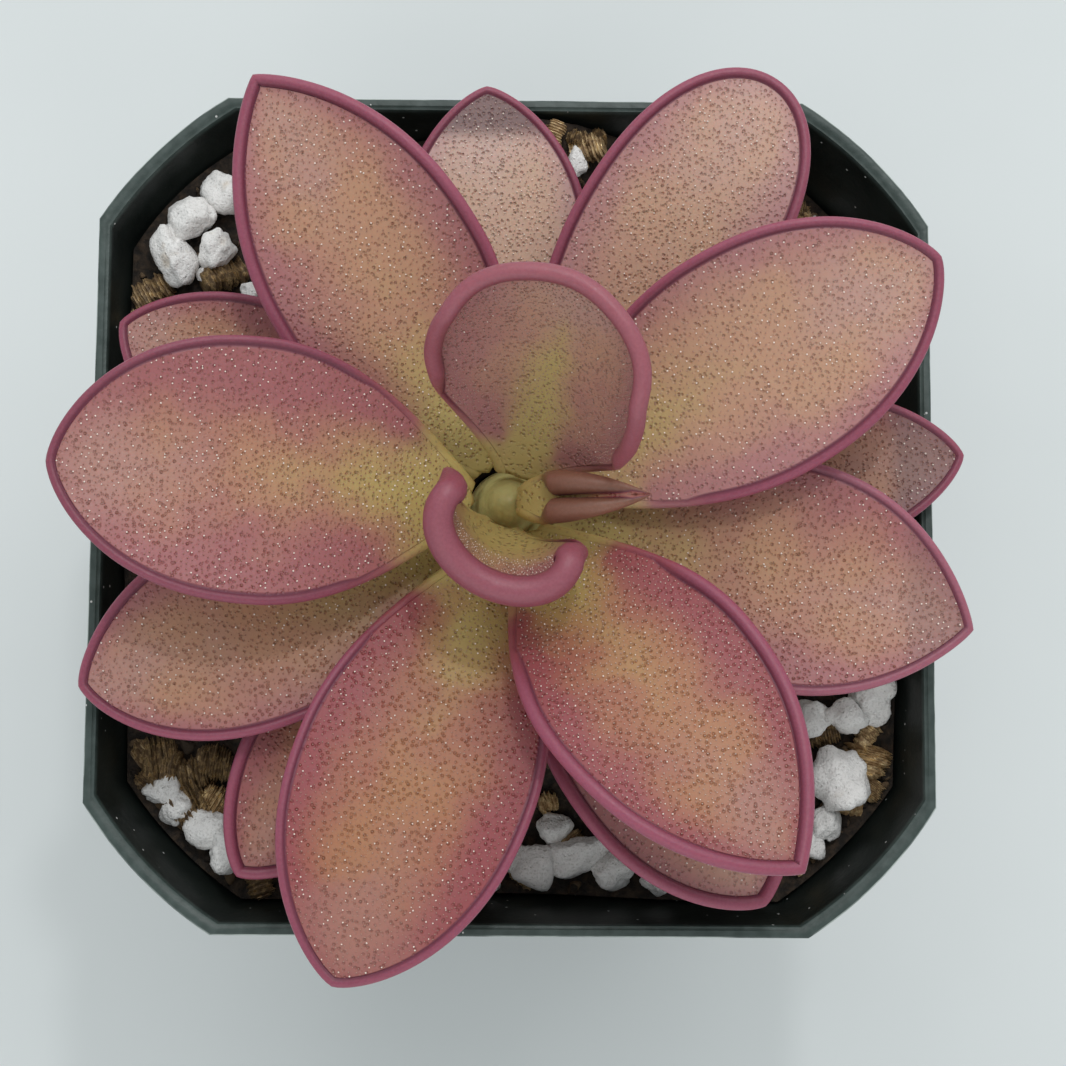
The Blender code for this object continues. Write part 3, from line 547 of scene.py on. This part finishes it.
ROUND_BALL = ball(4)
SMALL_BALL = ball(2)
perlite_lots, flake_lots, flake_tone = [], [], []
first_rim = np.arange(PLATE_CORNERS)
plate_faces = [grid_faces(PLATES * 3, PLATE_CORNERS, True)[:, ::-1], first_rim[None],
               (first_rim[::-1] + (PLATES * 3 - 1) * PLATE_CORNERS)[None]]
rows = [(row, True) for row in PERLITE] + [(row, False) for row in VERMICULITE]
for _ in range(HIDDEN_GRAINS):
    angle, reach, wide = chance.uniform(0, 2 * math.pi), chance.uniform(10, 33), chance.uniform(2.2, 4.2)
    row = (reach * math.cos(angle), reach * math.sin(angle), wide, wide * chance.uniform(0.7, 1))
    rows.append((row, chance.random() < 0.5))
for index, ((x, y, wide, long), is_perlite) in enumerate(rows):
    wide, long = wide * MM, long * MM
    high = 0.62 * min(wide, long) + 0.22 * max(wide, long)
    place = seat(x * MM, y * MM, wide, long) + (0, 0, high * (PERLITE_LIFT if is_perlite else FLAKE_LIFT))
    if is_perlite:
        grain = turned(popped(index, wide, long, high), chance.uniform(-0.25, 0.25, 3))
        perlite_lots.append((grain + place, [ROUND_BALL[1]]))
    else:
        spin = (chance.uniform(-0.4, 0.4), chance.uniform(-0.4, 0.4), chance.uniform(-1.3, 1.3))
        grain = turned(layered(wide, long, high), spin)
        flake_lots.append((grain + place, plate_faces))
        flake_tone.append(np.full(len(grain), chance.random()))
crumb_lots = []
for index in range(CRUMBS):
    x, y = chance.uniform(-36, 36, 2) * MM
    size = chance.uniform(0.5, 1.5) * MM
    place = seat(x, y, size, size)
    points = SMALL_BALL[0] * (1 + 0.5 * lumps(SMALL_BALL[0], 0.9, index)[:, None])
    if math.hypot(place[0] - PLANT_X, place[1]) > SOIL_HOLE_RADIUS + size:
        spun = turned(points * chance.uniform(0.5, 1, 3), chance.uniform(0, 6, 3))
        crumb_lots.append((spun * size / 2 + place, [SMALL_BALL[1]]))

popped_white, shader, start = finish("popped_white", Roughness=0.9)
pitted = start.noise(0.22, 6)
stain = start.noise(3.5).rise(0.60, 0.74)
clean = pitted.rise(0.30, 0.5).blend((0.68, 0.67, 0.65), (0.86, 0.85, 0.835))
feed(shader, "Base Color", (stain * 0.45).blend(clean, (0.62, 0.47, 0.30)))
emboss(shader, pitted + 0.5 * start.cells(0.45).rise(0.05, 0.3), 0.16)
points, faces = gather(perlite_lots)
put_piece("perlite_grains", points, faces, popped_white, "perlite")

flaky, shader, start = finish("layered_gold")
tone = start.value("tone")
mica = start.noise(0.5, 5)
brown = tone.rise(0.1, 0.9).blend((0.10, 0.060, 0.028), (0.36, 0.225, 0.105))
gold = tone.rise(0.1, 0.9).blend((0.40, 0.270, 0.130), (0.80, 0.620, 0.350))
feed(shader, "Base Color", mica.rise(0.42, 0.66).blend(brown, gold))
feed(shader, "Roughness", 0.62 - 0.38 * mica.rise(0.5, 0.62))
feed(shader, "Metallic", 0.55 * mica.rise(0.52, 0.64))
emboss(shader, mica, 0.12)
points, faces = gather(flake_lots)
put_piece("vermiculite_grains", points, faces, flaky, "vermiculite", 50, tone=np.concatenate(flake_tone))

crumbly, shader, start = finish("crumbly_brown", Roughness=0.9)
bit = start.node("ShaderNodeSeparateColor", {}, {0: start.cells(1.8, "Color")}, 0)
feed(shader, "Base Color", bit.rise(0.2, 0.95).blend((0.018, 0.012, 0.008), (0.16, 0.105, 0.058)))
emboss(shader, start.noise(0.3, 4), 0.15)
points, faces = gather(crumb_lots)
put_piece("peat_crumbs", points, faces, crumbly, "growing_mix")


# Crown: the short pale stem that all the leaves grow from, with thin buff roots that hang in the
# mix. Ridges run round it where the leaf bases sit.
CROWN_FOOT = -6.8 * MM
CROWN_TOP = 6.8 * MM
CROWN_RADIUS = 4.0 * MM
ROOT_LENGTH = 17.0 * MM
ROOT_RADIUS = 0.5 * MM
ROOT_RING = 3.4 * MM
ROOT_SOCKET = 1.5 * MM
ROOT_COUNT = 9
ROOT_RINGS = 26
ROOT_SIDES = 8
CROWN_RINGS = 60
CROWN_SIDES = 64


def crown_radius(height):
    """R (1 - s^2.2)^0.6 at a height above the rim, with s from 0 at the foot to 1 on top."""
    part = np.clip((height - CROWN_FOOT) / (CROWN_TOP - CROWN_FOOT), 0, 1)
    return CROWN_RADIUS * (1 - part ** 2.2) ** 0.6


def root(index):
    """A tapering tube of eight sides that bows out to the roots' ring and swings back to its tip."""
    along = np.linspace(0, 1, ROOT_RINGS)
    angle = 2 * math.pi * index / ROOT_COUNT
    ring = ROOT_RING * (1.0 if index % 2 == 0 else 0.45)
    length = ROOT_LENGTH * (0.85 + 0.15 * math.cos(3 * angle))
    reach = ring * (0.7 + 0.3 * np.sin(math.pi * along))
    swing = angle + 0.25 * np.sin(2 * math.pi * along)
    height = RIM_HEIGHT + CROWN_FOOT + ROOT_SOCKET - (length + ROOT_SOCKET) * along
    radius = ROOT_RADIUS * (1 - 0.35 * along) * (1 - np.clip((along - 0.94) / 0.06, 0, 0.97) ** 2) ** 0.5
    side = np.linspace(0, 2 * math.pi, ROOT_SIDES, endpoint=False)
    x = PLANT_X + (reach * np.cos(swing))[:, None] + radius[:, None] * np.cos(side)
    y = (reach * np.sin(swing))[:, None] + radius[:, None] * np.sin(side)
    tube = np.dstack([x, y, np.broadcast_to(height[:, None], x.shape)])
    first_ring = np.arange(ROOT_SIDES)
    last_ring = first_ring[::-1] + (ROOT_RINGS - 1) * ROOT_SIDES
    walls = grid_faces(ROOT_RINGS, ROOT_SIDES, True)[:, ::-1]
    return tube.reshape(-1, 3), [walls, first_ring[None], last_ring[None]]


level = CROWN_FOOT + (CROWN_TOP - CROWN_FOOT) * (1 - (1 - np.linspace(0, 0.9995, CROWN_RINGS)) ** 1.5)
side = np.linspace(0, 2 * math.pi, CROWN_SIDES, endpoint=False)
ridge = 1 + 0.012 * np.sin(level / (0.65 * MM) * 2 * math.pi)[:, None] * np.cos(2.6 * side + 1.0)
x = PLANT_X + crown_radius(level)[:, None] * ridge * np.cos(side)
y = crown_radius(level)[:, None] * ridge * np.sin(side)
stem = np.dstack([x, y, np.broadcast_to((RIM_HEIGHT + level)[:, None], x.shape)]).reshape(-1, 3)
first_ring = np.arange(CROWN_SIDES)
stem_faces = [grid_faces(CROWN_RINGS, CROWN_SIDES, True), first_ring[::-1][None],
              (first_ring + (CROWN_RINGS - 1) * CROWN_SIDES)[None]]
points, faces = gather([(stem, stem_faces)] + [root(index) for index in range(ROOT_COUNT)])

pith, shader, start = finish("crown_green", Roughness=0.5, Subsurface_Weight=0.1)
height = start.node("ShaderNodeSeparateXYZ", {}, {0: start.place()}, "Z")
low = height.rise(RIM_HEIGHT - 7 * MM, RIM_HEIGHT + 1 * MM)
upper = start.noise(1.5).rise(0.3, 0.7).blend((0.36, 0.31, 0.115), (0.48, 0.42, 0.17))
feed(shader, "Base Color", low.blend((0.32, 0.22, 0.12), upper))
emboss(shader, start.noise(0.5), 0.08)
crown = put_piece("crown_and_roots", points, faces, pith, "crown_tissue")
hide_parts("crown")


# Leaves: fleshy blades with both margins rolled up and in to a smooth lip that runs round the tip.
# Each grows from the crown, youngest first, and is salmon to tan with a yellow-green base.
LEAF_THICKNESS = 0.65 * MM
LEAF_BASE_THICKNESS = 1.4 * MM
LEAF_TIP_THICKNESS = 0.05 * MM
TAN, ROSE, TIP_PINK = np.array(((0.44, 0.225, 0.130), (0.34, 0.118, 0.122), (0.42, 0.225, 0.190)))
BASE_GREEN = np.array((0.46, 0.350, 0.120))
PALER = np.array((0.075, 0.075, 0.070))
# Pores are dark partly in their own brown and partly as painted shade in their pits.
PORE_BROWN_AND_SHADE = (0.19, 0.070, 0.052)
PORE_SPACING = 0.46
WALL_SHADE = (0.16, 0.095, 0.100)
UNDERSIDE = (0.50, 0.30, 0.21)
# Painted shadow: the dark line in the crease between the roll and the blade.
PAINTED_CREASE_SHADOW = (0.13, 0.022, 0.045)
# Near-white is a painted glint on the bright share of droplets, and pale droplet tone on the milky ones.
DROP_BROWN, DROP_PALE_AND_GLINT = (0.32, 0.145, 0.098), (0.88, 0.76, 0.68)
GLAND_SIZE_AT = 0.55        # spacing in millimetres at which a gland has its full size

# Each leaf: heading, sweep, rise and end of the midrib, cup and twist in degrees; length, width,
# height of the base above the rim, and radius of the roll in millimetres; base width, widest place
# and roll start as shares; powers that shape the outline. Then the looks: how far the green
# reaches and how narrow its wedge is, blush at the sides, paleness, spacing of the glands and the
# bare share below them, share of droplets painted near-white as glints, milkiness of the others,
# painted shade at the end that hangs over the pot's dark wall, and the lip's colour.
LEAF_COMMON = dict(sweep=0, cup=12, twist=0, base=0.16, widest=0.54, full=1.0, tip_fall=2.3,
                   tip_round=0.72, roll_start=0.12, roll_share=0.42, tip_roll=1,
                   green=0.30, wedge=0.32, blush=0.5, pale=0.3, glands=0.55, bare=0.06, dew=0.20,
                   milky=0.0, veil=0.0, lip=(0.26, 0.048, 0.092))
LEAF_ROWS = {
    "leaf_01": dict(heading=-4, sweep=6, length=13.5, width=4.8, rise=60, end=4, height=7.0,
                    roll=1.15, roll_share=0.46, tip_roll=0, cup=8, base=0.5, widest=0.42, full=0.8,
                    tip_fall=1.6, tip_round=0.95, roll_start=0.2, green=0.5, wedge=0.0, blush=0.8,
                    pale=-1.2, glands=0.4, bare=0.45, dew=0.0, lip=(0.20, 0.078, 0.046)),
    "leaf_02": dict(heading=-109.5, length=13.8, width=20.8, rise=69, end=52, height=5.0, roll=1.3,
                    roll_start=0.5, cup=78, twist=12, base=0.22, widest=0.74, full=1.2,
                    tip_fall=3.0, tip_round=0.5, green=0.50, wedge=0.2, blush=1.0,
                    pale=0.3, glands=0.34, bare=0.46, dew=0.5, milky=0.5, lip=(0.24, 0.052, 0.080)),
    "leaf_03": dict(heading=70.5, length=26.0, width=24.0, rise=48, end=68, height=4.6, roll=0.75,
                    roll_start=0.28, cup=60, base=0.2, widest=0.62, full=1.2, tip_fall=2.6,
                    tip_round=0.5, twist=8, green=0.66, wedge=1.1, blush=0.7, pale=0.8, glands=0.42,
                    bare=0.2, dew=0.01, milky=0.25, lip=(0.27, 0.066, 0.092)),
    "leaf_04": dict(heading=-55.4, sweep=6, length=39.0, width=20.6, rise=36, end=4, height=3.4,
                    roll=0.6, twist=12, widest=0.5, tip_round=0.88, blush=0.62, pale=-0.7, glands=0.50,
                    dew=0.08, milky=0.50),
    "leaf_05": dict(heading=174, sweep=6.5, length=37.6, width=22.8, rise=36, end=4, height=2.7,
                    roll=0.42, tip_round=0.66, blush=0.78, pale=-0.1, glands=0.52,
                    lip=(0.22, 0.040, 0.075)),
    "leaf_06": dict(heading=29.1, length=40.2, width=20.9, rise=32, end=3, height=2.0, roll=0.45,
                    twist=-7, blush=0.45, pale=0.8, milky=0.15),
    "leaf_07": dict(heading=-107, sweep=-5, length=41.2, width=21.3, rise=26, end=0, height=1.3,
                    roll=0.42, twist=-4, blush=0.60, pale=-0.8, glands=0.50,
                    dew=0.16, milky=0.20),
    "leaf_08": dict(heading=120.3, sweep=3, length=40.5, width=20.2, rise=29, end=2, height=0.6,
                    roll=0.55, twist=8, widest=0.48, tip_round=0.85, blush=0.5, pale=0.3),
    "leaf_09": dict(heading=-14, sweep=-3, length=38.5, width=20.6, rise=22, end=1, height=-0.1,
                    roll=0.42, tip_round=0.85, blush=0.6, pale=0.1, veil=0.35,
                    lip=(0.31, 0.085, 0.130)),
    "leaf_10": dict(heading=-151, sweep=-12, length=37.3, width=18.6, rise=18, end=-2,
                    height=-0.7, roll=0.45, cup=10, blush=0.45, pale=0.0),
    "leaf_11": dict(heading=59.9, sweep=-4, length=41.2, width=18.1, rise=25, end=2, height=-1.3,
                    roll=0.48, cup=10, widest=0.6, tip_round=0.5, blush=0.45, pale=1.2,
                    milky=0.2),
    "leaf_12": dict(heading=-57.2, length=37.8, width=19.6, rise=14, end=0, height=-1.9, roll=0.6,
                    cup=10, twist=6, blush=0.7, pale=0.8, milky=0.3),
    "leaf_13": dict(heading=154.8, length=35.0, width=16.2, rise=11, end=1, height=-2.5, roll=0.42,
                    cup=10, blush=0.55, pale=0.0),
    "leaf_14": dict(heading=6.9, length=37.1, width=15.3, rise=16, end=1, height=-3.1, roll=0.4,
                    cup=10, blush=0.5, pale=0.0, veil=0.7),
    "leaf_15": dict(heading=-126, length=36.5, width=15.6, rise=11, end=2, height=-3.7,
                    roll=0.55, cup=10, twist=8, blush=0.6, pale=-0.3),
    "leaf_16": dict(heading=93.5, length=34.8, width=17.8, rise=16, end=6, height=-4.3, roll=0.4,
                    cup=10, blush=0.30, pale=2.8, milky=0.35, veil=1.0),
}
STATIONS = 92
UNDER_SHARES = np.linspace(0, 1, 6)[:-1]
ROLL_SHARES = np.linspace(0, 1, 11)[:-1]
OVER_SHARES = np.array([0, 0.025, 0.09, 0.2, 0.36, 0.56, 0.78, 1.0])


def smooth(value):
    """0 below 0, 1 above 1, and an even S between them."""
    part = np.clip(value, 0, 1)
    return part * part * (3 - 2 * part)


def half_width(part, leaf):
    """Half the blade's width at a share of its length: a rising sine, then a round tip."""
    grow = np.clip(part / leaf["widest"], 0, 1)
    fall = np.clip((part - leaf["widest"]) / (1 - leaf["widest"]), 0, 1)
    rising = leaf["base"] + (1 - leaf["base"]) * np.sin(math.pi / 2 * grow) ** leaf["full"]
    falling = (1 - fall ** leaf["tip_fall"]) ** leaf["tip_round"]
    return leaf["width"] * MM / 2 * np.where(part <= leaf["widest"], rising, falling)


def thickness(part, leaf):
    """Radius of the rolled margin and thickness of the blade, at a share of the length."""
    full_roll = leaf["roll"] * MM
    tall = full_roll * (0.25 + 0.75 * smooth((part - leaf["roll_start"]) / 0.22))
    half = half_width(part, leaf)
    thick = LEAF_THICKNESS + (LEAF_BASE_THICKNESS - LEAF_THICKNESS) * (1 - smooth(part / 0.35))
    tall = np.minimum(tall, leaf["roll_share"] * half + leaf["tip_roll"] * full_roll)
    thick = np.maximum(np.minimum(thick, np.maximum(1.9 * tall, 0.8 * half)), LEAF_TIP_THICKNESS)
    return np.maximum(tall, 0.52 * thick), thick


def midrib(part, leaf):
    """Places on the midrib with the forward, right and upper directions there.

    The slope and the heading each change evenly from base to tip, so the midrib is an arc, and the
    blade turns about it by the leaf's twist.
    """
    fine = np.linspace(0, 1, 400)
    slope = np.radians(leaf["rise"] + (leaf["end"] - leaf["rise"]) * fine)
    heading = np.radians(leaf["heading"] + leaf["sweep"] * fine)
    ahead = np.stack([np.cos(slope) * np.cos(heading), np.cos(slope) * np.sin(heading), np.sin(slope)], 1)
    places = np.vstack([np.zeros(3), np.cumsum((ahead[1:] + ahead[:-1]) / 2, 0)])
    places *= leaf["length"] * MM / (len(fine) - 1)
    base_height = leaf["height"] * MM
    reach = crown_radius(base_height) + CLEARANCE + LEAF_BASE_THICKNESS / 2 * math.sin(slope[0])
    places += (PLANT_X + reach * math.cos(heading[0]), reach * math.sin(heading[0]),
               RIM_HEIGHT + base_height)
    places = np.stack([np.interp(part, fine, places[:, axis]) for axis in range(3)], -1)
    ahead = np.stack([np.interp(part, fine, ahead[:, axis]) for axis in range(3)], -1)
    ahead /= np.linalg.norm(ahead, axis=-1)[..., None]
    heading = np.interp(part, fine, heading)
    right = np.stack([np.sin(heading), -np.cos(heading), 0 * heading], -1)
    upper = np.cross(right, ahead)
    twist = (np.radians(leaf["twist"]) * np.minimum(1, part / 0.6))[..., None]
    c, s = np.cos(twist), np.sin(twist)
    return places, ahead, right * c + upper * s, upper * c - right * s


def on_blade(x, y, leaf):
    """A point of the blade's middle layer, x along the midrib and y to its right, in metres, with
    the directions ahead, across and out of the blade there. Each section is an arc that turns up by
    the leaf's cup towards either margin."""
    part = np.clip(x / (leaf["length"] * MM), 0, 1)
    place, ahead, right, upper = midrib(part, leaf)
    flat = np.maximum(half_width(part, leaf) - thickness(part, leaf)[0], 1.2 * MM)
    turn = math.radians(leaf["cup"]) * (0.35 + 0.65 * smooth(part / 0.5))
    turn = turn * (1 - 0.5 * smooth((part - 0.75) / 0.25))
    bend = flat / turn
    angle = y / bend
    c, s = np.cos(angle)[..., None], np.sin(angle)[..., None]
    point = place + right * s * bend[..., None] + upper * (1 - c) * bend[..., None]
    return point, ahead, right * c + upper * s, upper * c - right * s


def leaf_margin(leaf):
    """Along the right margin, in the blade's flat plan: the outline, the middle of the roll, and
    the crease where the roll meets the blade, all evenly spaced from base to tip.

    The middle is the outline moved in by the roll's radius. Where that would cross the midrib it
    stays on it, so the two rolls meet in the tip.
    """
    length = leaf["length"] * MM
    fine = 1 - (1 - np.linspace(0, 1, 3000)) ** 3
    outline = np.stack([fine * length, half_width(fine, leaf)], 1)
    step = np.gradient(outline, axis=0)
    step[-1] = (0, -1)
    step /= np.linalg.norm(step, axis=1)[:, None]
    away = np.stack([-step[:, 1], step[:, 0]], 1)
    middle = outline - away * thickness(fine, leaf)[0][:, None]
    past = np.flatnonzero(middle[:, 1] < 0)
    if len(past):
        middle[past[0]:] = (middle[past[0], 0], 0)
    arc = np.concatenate([[0], np.cumsum(np.linalg.norm(np.diff(outline, axis=0), axis=1))])
    part = np.interp(np.linspace(0, arc[-1], STATIONS), arc, fine)
    outline, middle = (np.stack([np.interp(part, fine, line[:, axis]) for axis in range(2)], 1)
                       for line in (outline, middle))
    outline[-1, 1] = 0
    tall, thick = thickness(part, leaf)
    end = math.pi - np.arcsin(np.clip(thick / tall - 1, -1, 1))
    crease = middle + (outline - middle) * np.cos(end)[:, None]
    crease[:, 1] = np.maximum(crease[:, 1], 0)
    return part, outline, middle, crease, tall, thick, end


def leaf_half(leaf, side):
    """One half of a leaf as a grid, a row for each place along the margin: under the blade from the
    midrib out, round the roll, and back over the blade to the midrib."""
    part, outline, middle, crease, tall, thick, end = leaf_margin(leaf)
    length = leaf["length"] * MM
    spine = np.stack([length * (part - 0.12 * part ** 7), 0 * part], 1)[:, None]

    def lay(plan, up):
        point, _, _, normal = on_blade(plan[..., 0], side * plan[..., 1], leaf)
        return point + normal * up[..., None]

    out = UNDER_SHARES[None, :, None]
    under_plan = spine + (middle[:, None] - spine) * out
    under = lay(under_plan, np.broadcast_to(-thick[:, None] / 2, under_plan.shape[:2]))
    angle = -math.pi / 2 + (end[:, None] + math.pi / 2) * ROLL_SHARES
    vector = outline - middle
    ahead_part = vector[:, :1] * np.cos(angle)
    aside_part = np.maximum(middle[:, 1:] + vector[:, 1:] * np.cos(angle), 0) - middle[:, 1:]
    centre, ahead, across, normal = on_blade(middle[:, 0], side * middle[:, 1], leaf)
    roll = (centre[:, None] + ahead[:, None] * ahead_part[..., None]
            + across[:, None] * (side * aside_part)[..., None]
            + normal[:, None] * ((tall - thick / 2)[:, None] + tall[:, None] * np.sin(angle))[..., None])
    back = OVER_SHARES[None, :, None]
    over_plan = crease[:, None] + (spine - crease[:, None]) * back
    over = lay(over_plan, np.broadcast_to(thick[:, None] / 2, over_plan.shape[:2]))
    rows = len(part)
    grid = np.concatenate([under, roll, over], 1)
    turns, covers = len(ROLL_SHARES), len(OVER_SHARES)
    rims = dict(
        rimward=(UNDER_SHARES, np.ones(turns), 1 - OVER_SHARES),
        lip=(UNDER_SHARES ** 6, np.ones(turns + 1), np.zeros(covers - 1)),
        crease=(0 * UNDER_SHARES, np.zeros(turns - 1), [0.6, 1.0], np.zeros(covers - 1)),
        under=(1 - UNDER_SHARES ** 4, np.zeros(turns + covers)),
        round_lip=(0 * UNDER_SHARES, ROLL_SHARES, np.ones(covers)),
    )
    values = {key: np.repeat(np.concatenate(shares)[None], rows, 0) for key, shares in rims.items()}
    values["along"] = np.concatenate([under_plan[..., 0] / length, np.repeat(part[:, None], turns, 1),
                                      over_plan[..., 0] / length], 1)
    # Painted shade on the part of a leaf that hangs out over the pot's dark wall.
    values["veil"] = leaf["veil"] * smooth((np.abs(grid[..., :2]).max(-1) - 33 * MM) / (2 * MM))
    return grid, values


def leaf_mesh(leaf):
    """Both halves joined: points that fall together become one, and faces that meet back to back
    in the tip's fold are dropped."""
    (right, values), (left, left_values) = leaf_half(leaf, 1), leaf_half(leaf, -1)
    rows, columns = right.shape[:2]
    quads = grid_faces(rows, columns)
    half = rows * columns
    quads = np.vstack([quads[:, ::-1], quads + half])
    ring = np.concatenate([np.arange(columns), half + np.arange(columns)[::-1]])
    hub = 2 * half
    middle = right[0].mean(0) / 2 + left[0].mean(0) / 2
    points = np.vstack([right.reshape(-1, 3), left.reshape(-1, 3), middle])
    cap = np.stack([ring, np.roll(ring, -1), np.full(len(ring), hub)], 1)
    triangles = np.vstack([quads[:, [0, 1, 2]], quads[:, [0, 2, 3]], cap])
    both = {key: np.concatenate([values[key].ravel(), left_values[key].ravel(), [0.0]]) for key in values}
    rounded = np.round(points / 1e-8).astype(np.int64)
    _, first, same = np.unique(rounded, axis=0, return_index=True, return_inverse=True)
    triangles = same.reshape(-1)[triangles]
    whole = ((triangles[:, 0] != triangles[:, 1]) & (triangles[:, 1] != triangles[:, 2])
             & (triangles[:, 0] != triangles[:, 2]))
    triangles = triangles[whole]
    _, twin, count = np.unique(np.sort(triangles, 1), axis=0, return_inverse=True, return_counts=True)
    triangles = triangles[count[twin.reshape(-1)] == 1]
    return points[first], triangles, {key: both[key][first] for key in both}


def flesh(name, leaf):
    """Leaf colour: tan along the midrib, rose to the sides, paler at the tip and yellow-green at the
    base, pricked by pores that are partly brown and partly painted shade. The lip is mauve with a
    painted highlight outside and painted shade inside, and a painted shadow line where it meets the
    blade; the thin end of a leaf gets painted shade where it hangs over the pot's dark wall."""
    made, shader, start = finish(name, Subsurface_Weight=0.15, Subsurface_Scale=0.0016,
                                 Specular_IOR_Level=0.45)
    along, rimward, lip = start.value("along"), start.value("rimward"), start.value("lip")
    crease, under, round_lip = start.value("crease"), start.value("under"), start.value("round_lip")
    cloud = start.noise(7).rise(0.32, 0.68)
    lighter = PALER * leaf["pale"]
    sides = (rimward ** 2.0 * 0.95 + 0.35 * cloud + (leaf["blush"] - 0.60)).rise(0.0, 0.95)
    colour = sides.blend(tuple(TAN + lighter), tuple(ROSE + lighter))
    far = (along + 0.15 * cloud - 0.25 * rimward - 0.60).rise(0, 0.35)
    colour = (0.8 * far).blend(colour, tuple(TIP_PINK + lighter))
    base = 1 - (along + leaf["wedge"] * rimward + 0.16 * cloud - leaf["green"]).rise(-0.14, 0.34)
    base = 1 - (1 - base) * (along + 0.08 * cloud).rise(0.12, 0.26)
    colour = base.blend(colour, tuple(BASE_GREEN + 0.6 * np.maximum(lighter, 0)))
    pores = start.cells(PORE_SPACING).rise(0.08, 0.42)
    # Pore colour: partly the glands' own brown, partly painted shade in the pits.
    colour = (0.34 - 0.34 * pores).blend(colour, PORE_BROWN_AND_SHADE)
    # Painted shade where the leaf's end hangs over the pot's dark wall.
    colour = (0.85 * start.value("veil")).blend(colour, WALL_SHADE)
    colour = under.blend(colour, UNDERSIDE)
    # The lip gets a painted highlight on its outer side and painted shade on its inner side, by place
    # round the roll, with a little real speckle.
    lip_speckle_and_painted_light = start.noise(0.25, 4).rise(0.3, 0.7) * 0.25 + round_lip.rise(0.45, 0.95) * 0.75
    mauve = np.array(leaf["lip"])
    margin = lip_speckle_and_painted_light.blend(tuple(mauve * 1.15 + 0.020), tuple(mauve * 0.70))
    grown = (along + 0.05 * cloud).rise(0.16, 0.42)
    colour = (lip * grown).blend(colour, margin)
    # Painted shadow line in the crease where the roll meets the blade.
    colour = (crease * grown).blend(colour, PAINTED_CREASE_SHADOW)
    feed(shader, "Base Color", colour)
    feed(shader, "Roughness", 0.34 + 0.12 * pores)
    emboss(shader, (1 - lip) * pores + 0.25 * start.noise(0.3, 3), 0.11)
    return made


def gland_plan(leaf, chance):
    """Places of the glands on the blade's flat plan: rows of even steps, every second one moved by
    half a step, each gland shaken a little, and all clear of the crease."""
    crease = leaf_margin(leaf)[3]
    step = leaf["glands"] * MM
    x = np.arange(leaf["bare"] * leaf["length"] * MM, crease[:, 0].max(), step * 0.87)
    y = np.arange(-leaf["width"] / 2 * MM, leaf["width"] / 2 * MM, step)
    grid_x, grid_y = np.meshgrid(x, y, indexing="ij")
    grid_y = grid_y + (np.arange(len(x)) % 2)[:, None] * step / 2
    plan = np.stack([grid_x, grid_y], -1).reshape(-1, 2) + chance.normal(0, 0.16, (grid_x.size, 2)) * step
    order = np.argsort(crease[:, 0])
    limit = np.interp(plan[:, 0], crease[order, 0], crease[order, 1], right=0)
    return plan[np.abs(plan[:, 1]) < limit - 0.22 * MM]


def gland_mesh(leaf, chance):
    """A stalked droplet at each place: a four-sided body that swells from its stalk to a shoulder
    and closes in a point, smooth-shaded, with a share of them larger and painted near-white as glints."""
    plan = gland_plan(leaf, chance)
    point, ahead, across, normal = on_blade(plan[:, 0], plan[:, 1], leaf)
    thick = thickness(plan[:, 0] / (leaf["length"] * MM), leaf)[1]
    point = point + normal * (thick / 2)[:, None]
    bright = chance.random(len(plan)) < leaf["dew"]
    size = chance.uniform(0.75, 1.1, len(plan)) * np.where(bright, 1.15, 0.9)
    size *= leaf["glands"] / GLAND_SIZE_AT
    radius = np.array([0.035, 0.085, 0.062]) * MM
    height = np.array([-0.05, 0.12, 0.19]) * MM
    angle = np.arange(4) * math.pi / 2
    body = np.concatenate([
        np.stack([r * np.cos(angle), r * np.sin(angle), np.full(4, h)], 1) for r, h in zip(radius, height)
    ] + [[(0, 0, 0.215 * MM)]])
    offset = (across[:, None] * body[None, :, :1] + ahead[:, None] * body[None, :, 1:2]
              + normal[:, None] * body[None, :, 2:])
    points = point[:, None] + size[:, None, None] * offset
    count = len(body)
    side = np.arange(4)
    after = (side + 1) % 4
    walls = np.stack([side, after, after + 4, side + 4], 1)
    quads = np.vstack([walls, walls + 4, [(3, 2, 1, 0)]])
    tops = np.stack([side + 8, after + 8, np.full(4, 12)], 1)
    shift = (np.arange(len(plan)) * count)[:, None, None]
    if np.linalg.det(np.stack([across[0], ahead[0], normal[0]])) < 0:
        quads, tops = quads[:, ::-1], tops[:, ::-1]
    faces = [(quads[None] + shift).reshape(-1, 4), (tops[None] + shift).reshape(-1, 3)]
    tone = np.where(bright, 1.0, leaf["milky"] * chance.uniform(0.6, 1.3, len(plan)))
    return points.reshape(-1, 3), faces, np.repeat(tone, count)


droplet, shader, start = finish("sticky_droplet", Roughness=0.12, Coat_Weight=0.6, Coat_Roughness=0.05)
# Near-white droplets: painted glints on the bright share, pale tone on the milky ones.
feed(shader, "Base Color", start.value("bright").blend(DROP_BROWN, DROP_PALE_AND_GLINT))

for number, (name, row) in enumerate(LEAF_ROWS.items()):
    leaf = LEAF_COMMON | row
    points, triangles, values = leaf_mesh(leaf)
    blade = put_piece(name + "_blade", points, [triangles], flesh(name + "_flesh", leaf), "leaf_flesh",
                      **values)
    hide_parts(name)
    points, faces, bright = gland_mesh(leaf, np.random.default_rng(100 + number))
    put_piece(name + "_glands", points, faces, droplet, "gland_droplets", bright=bright)
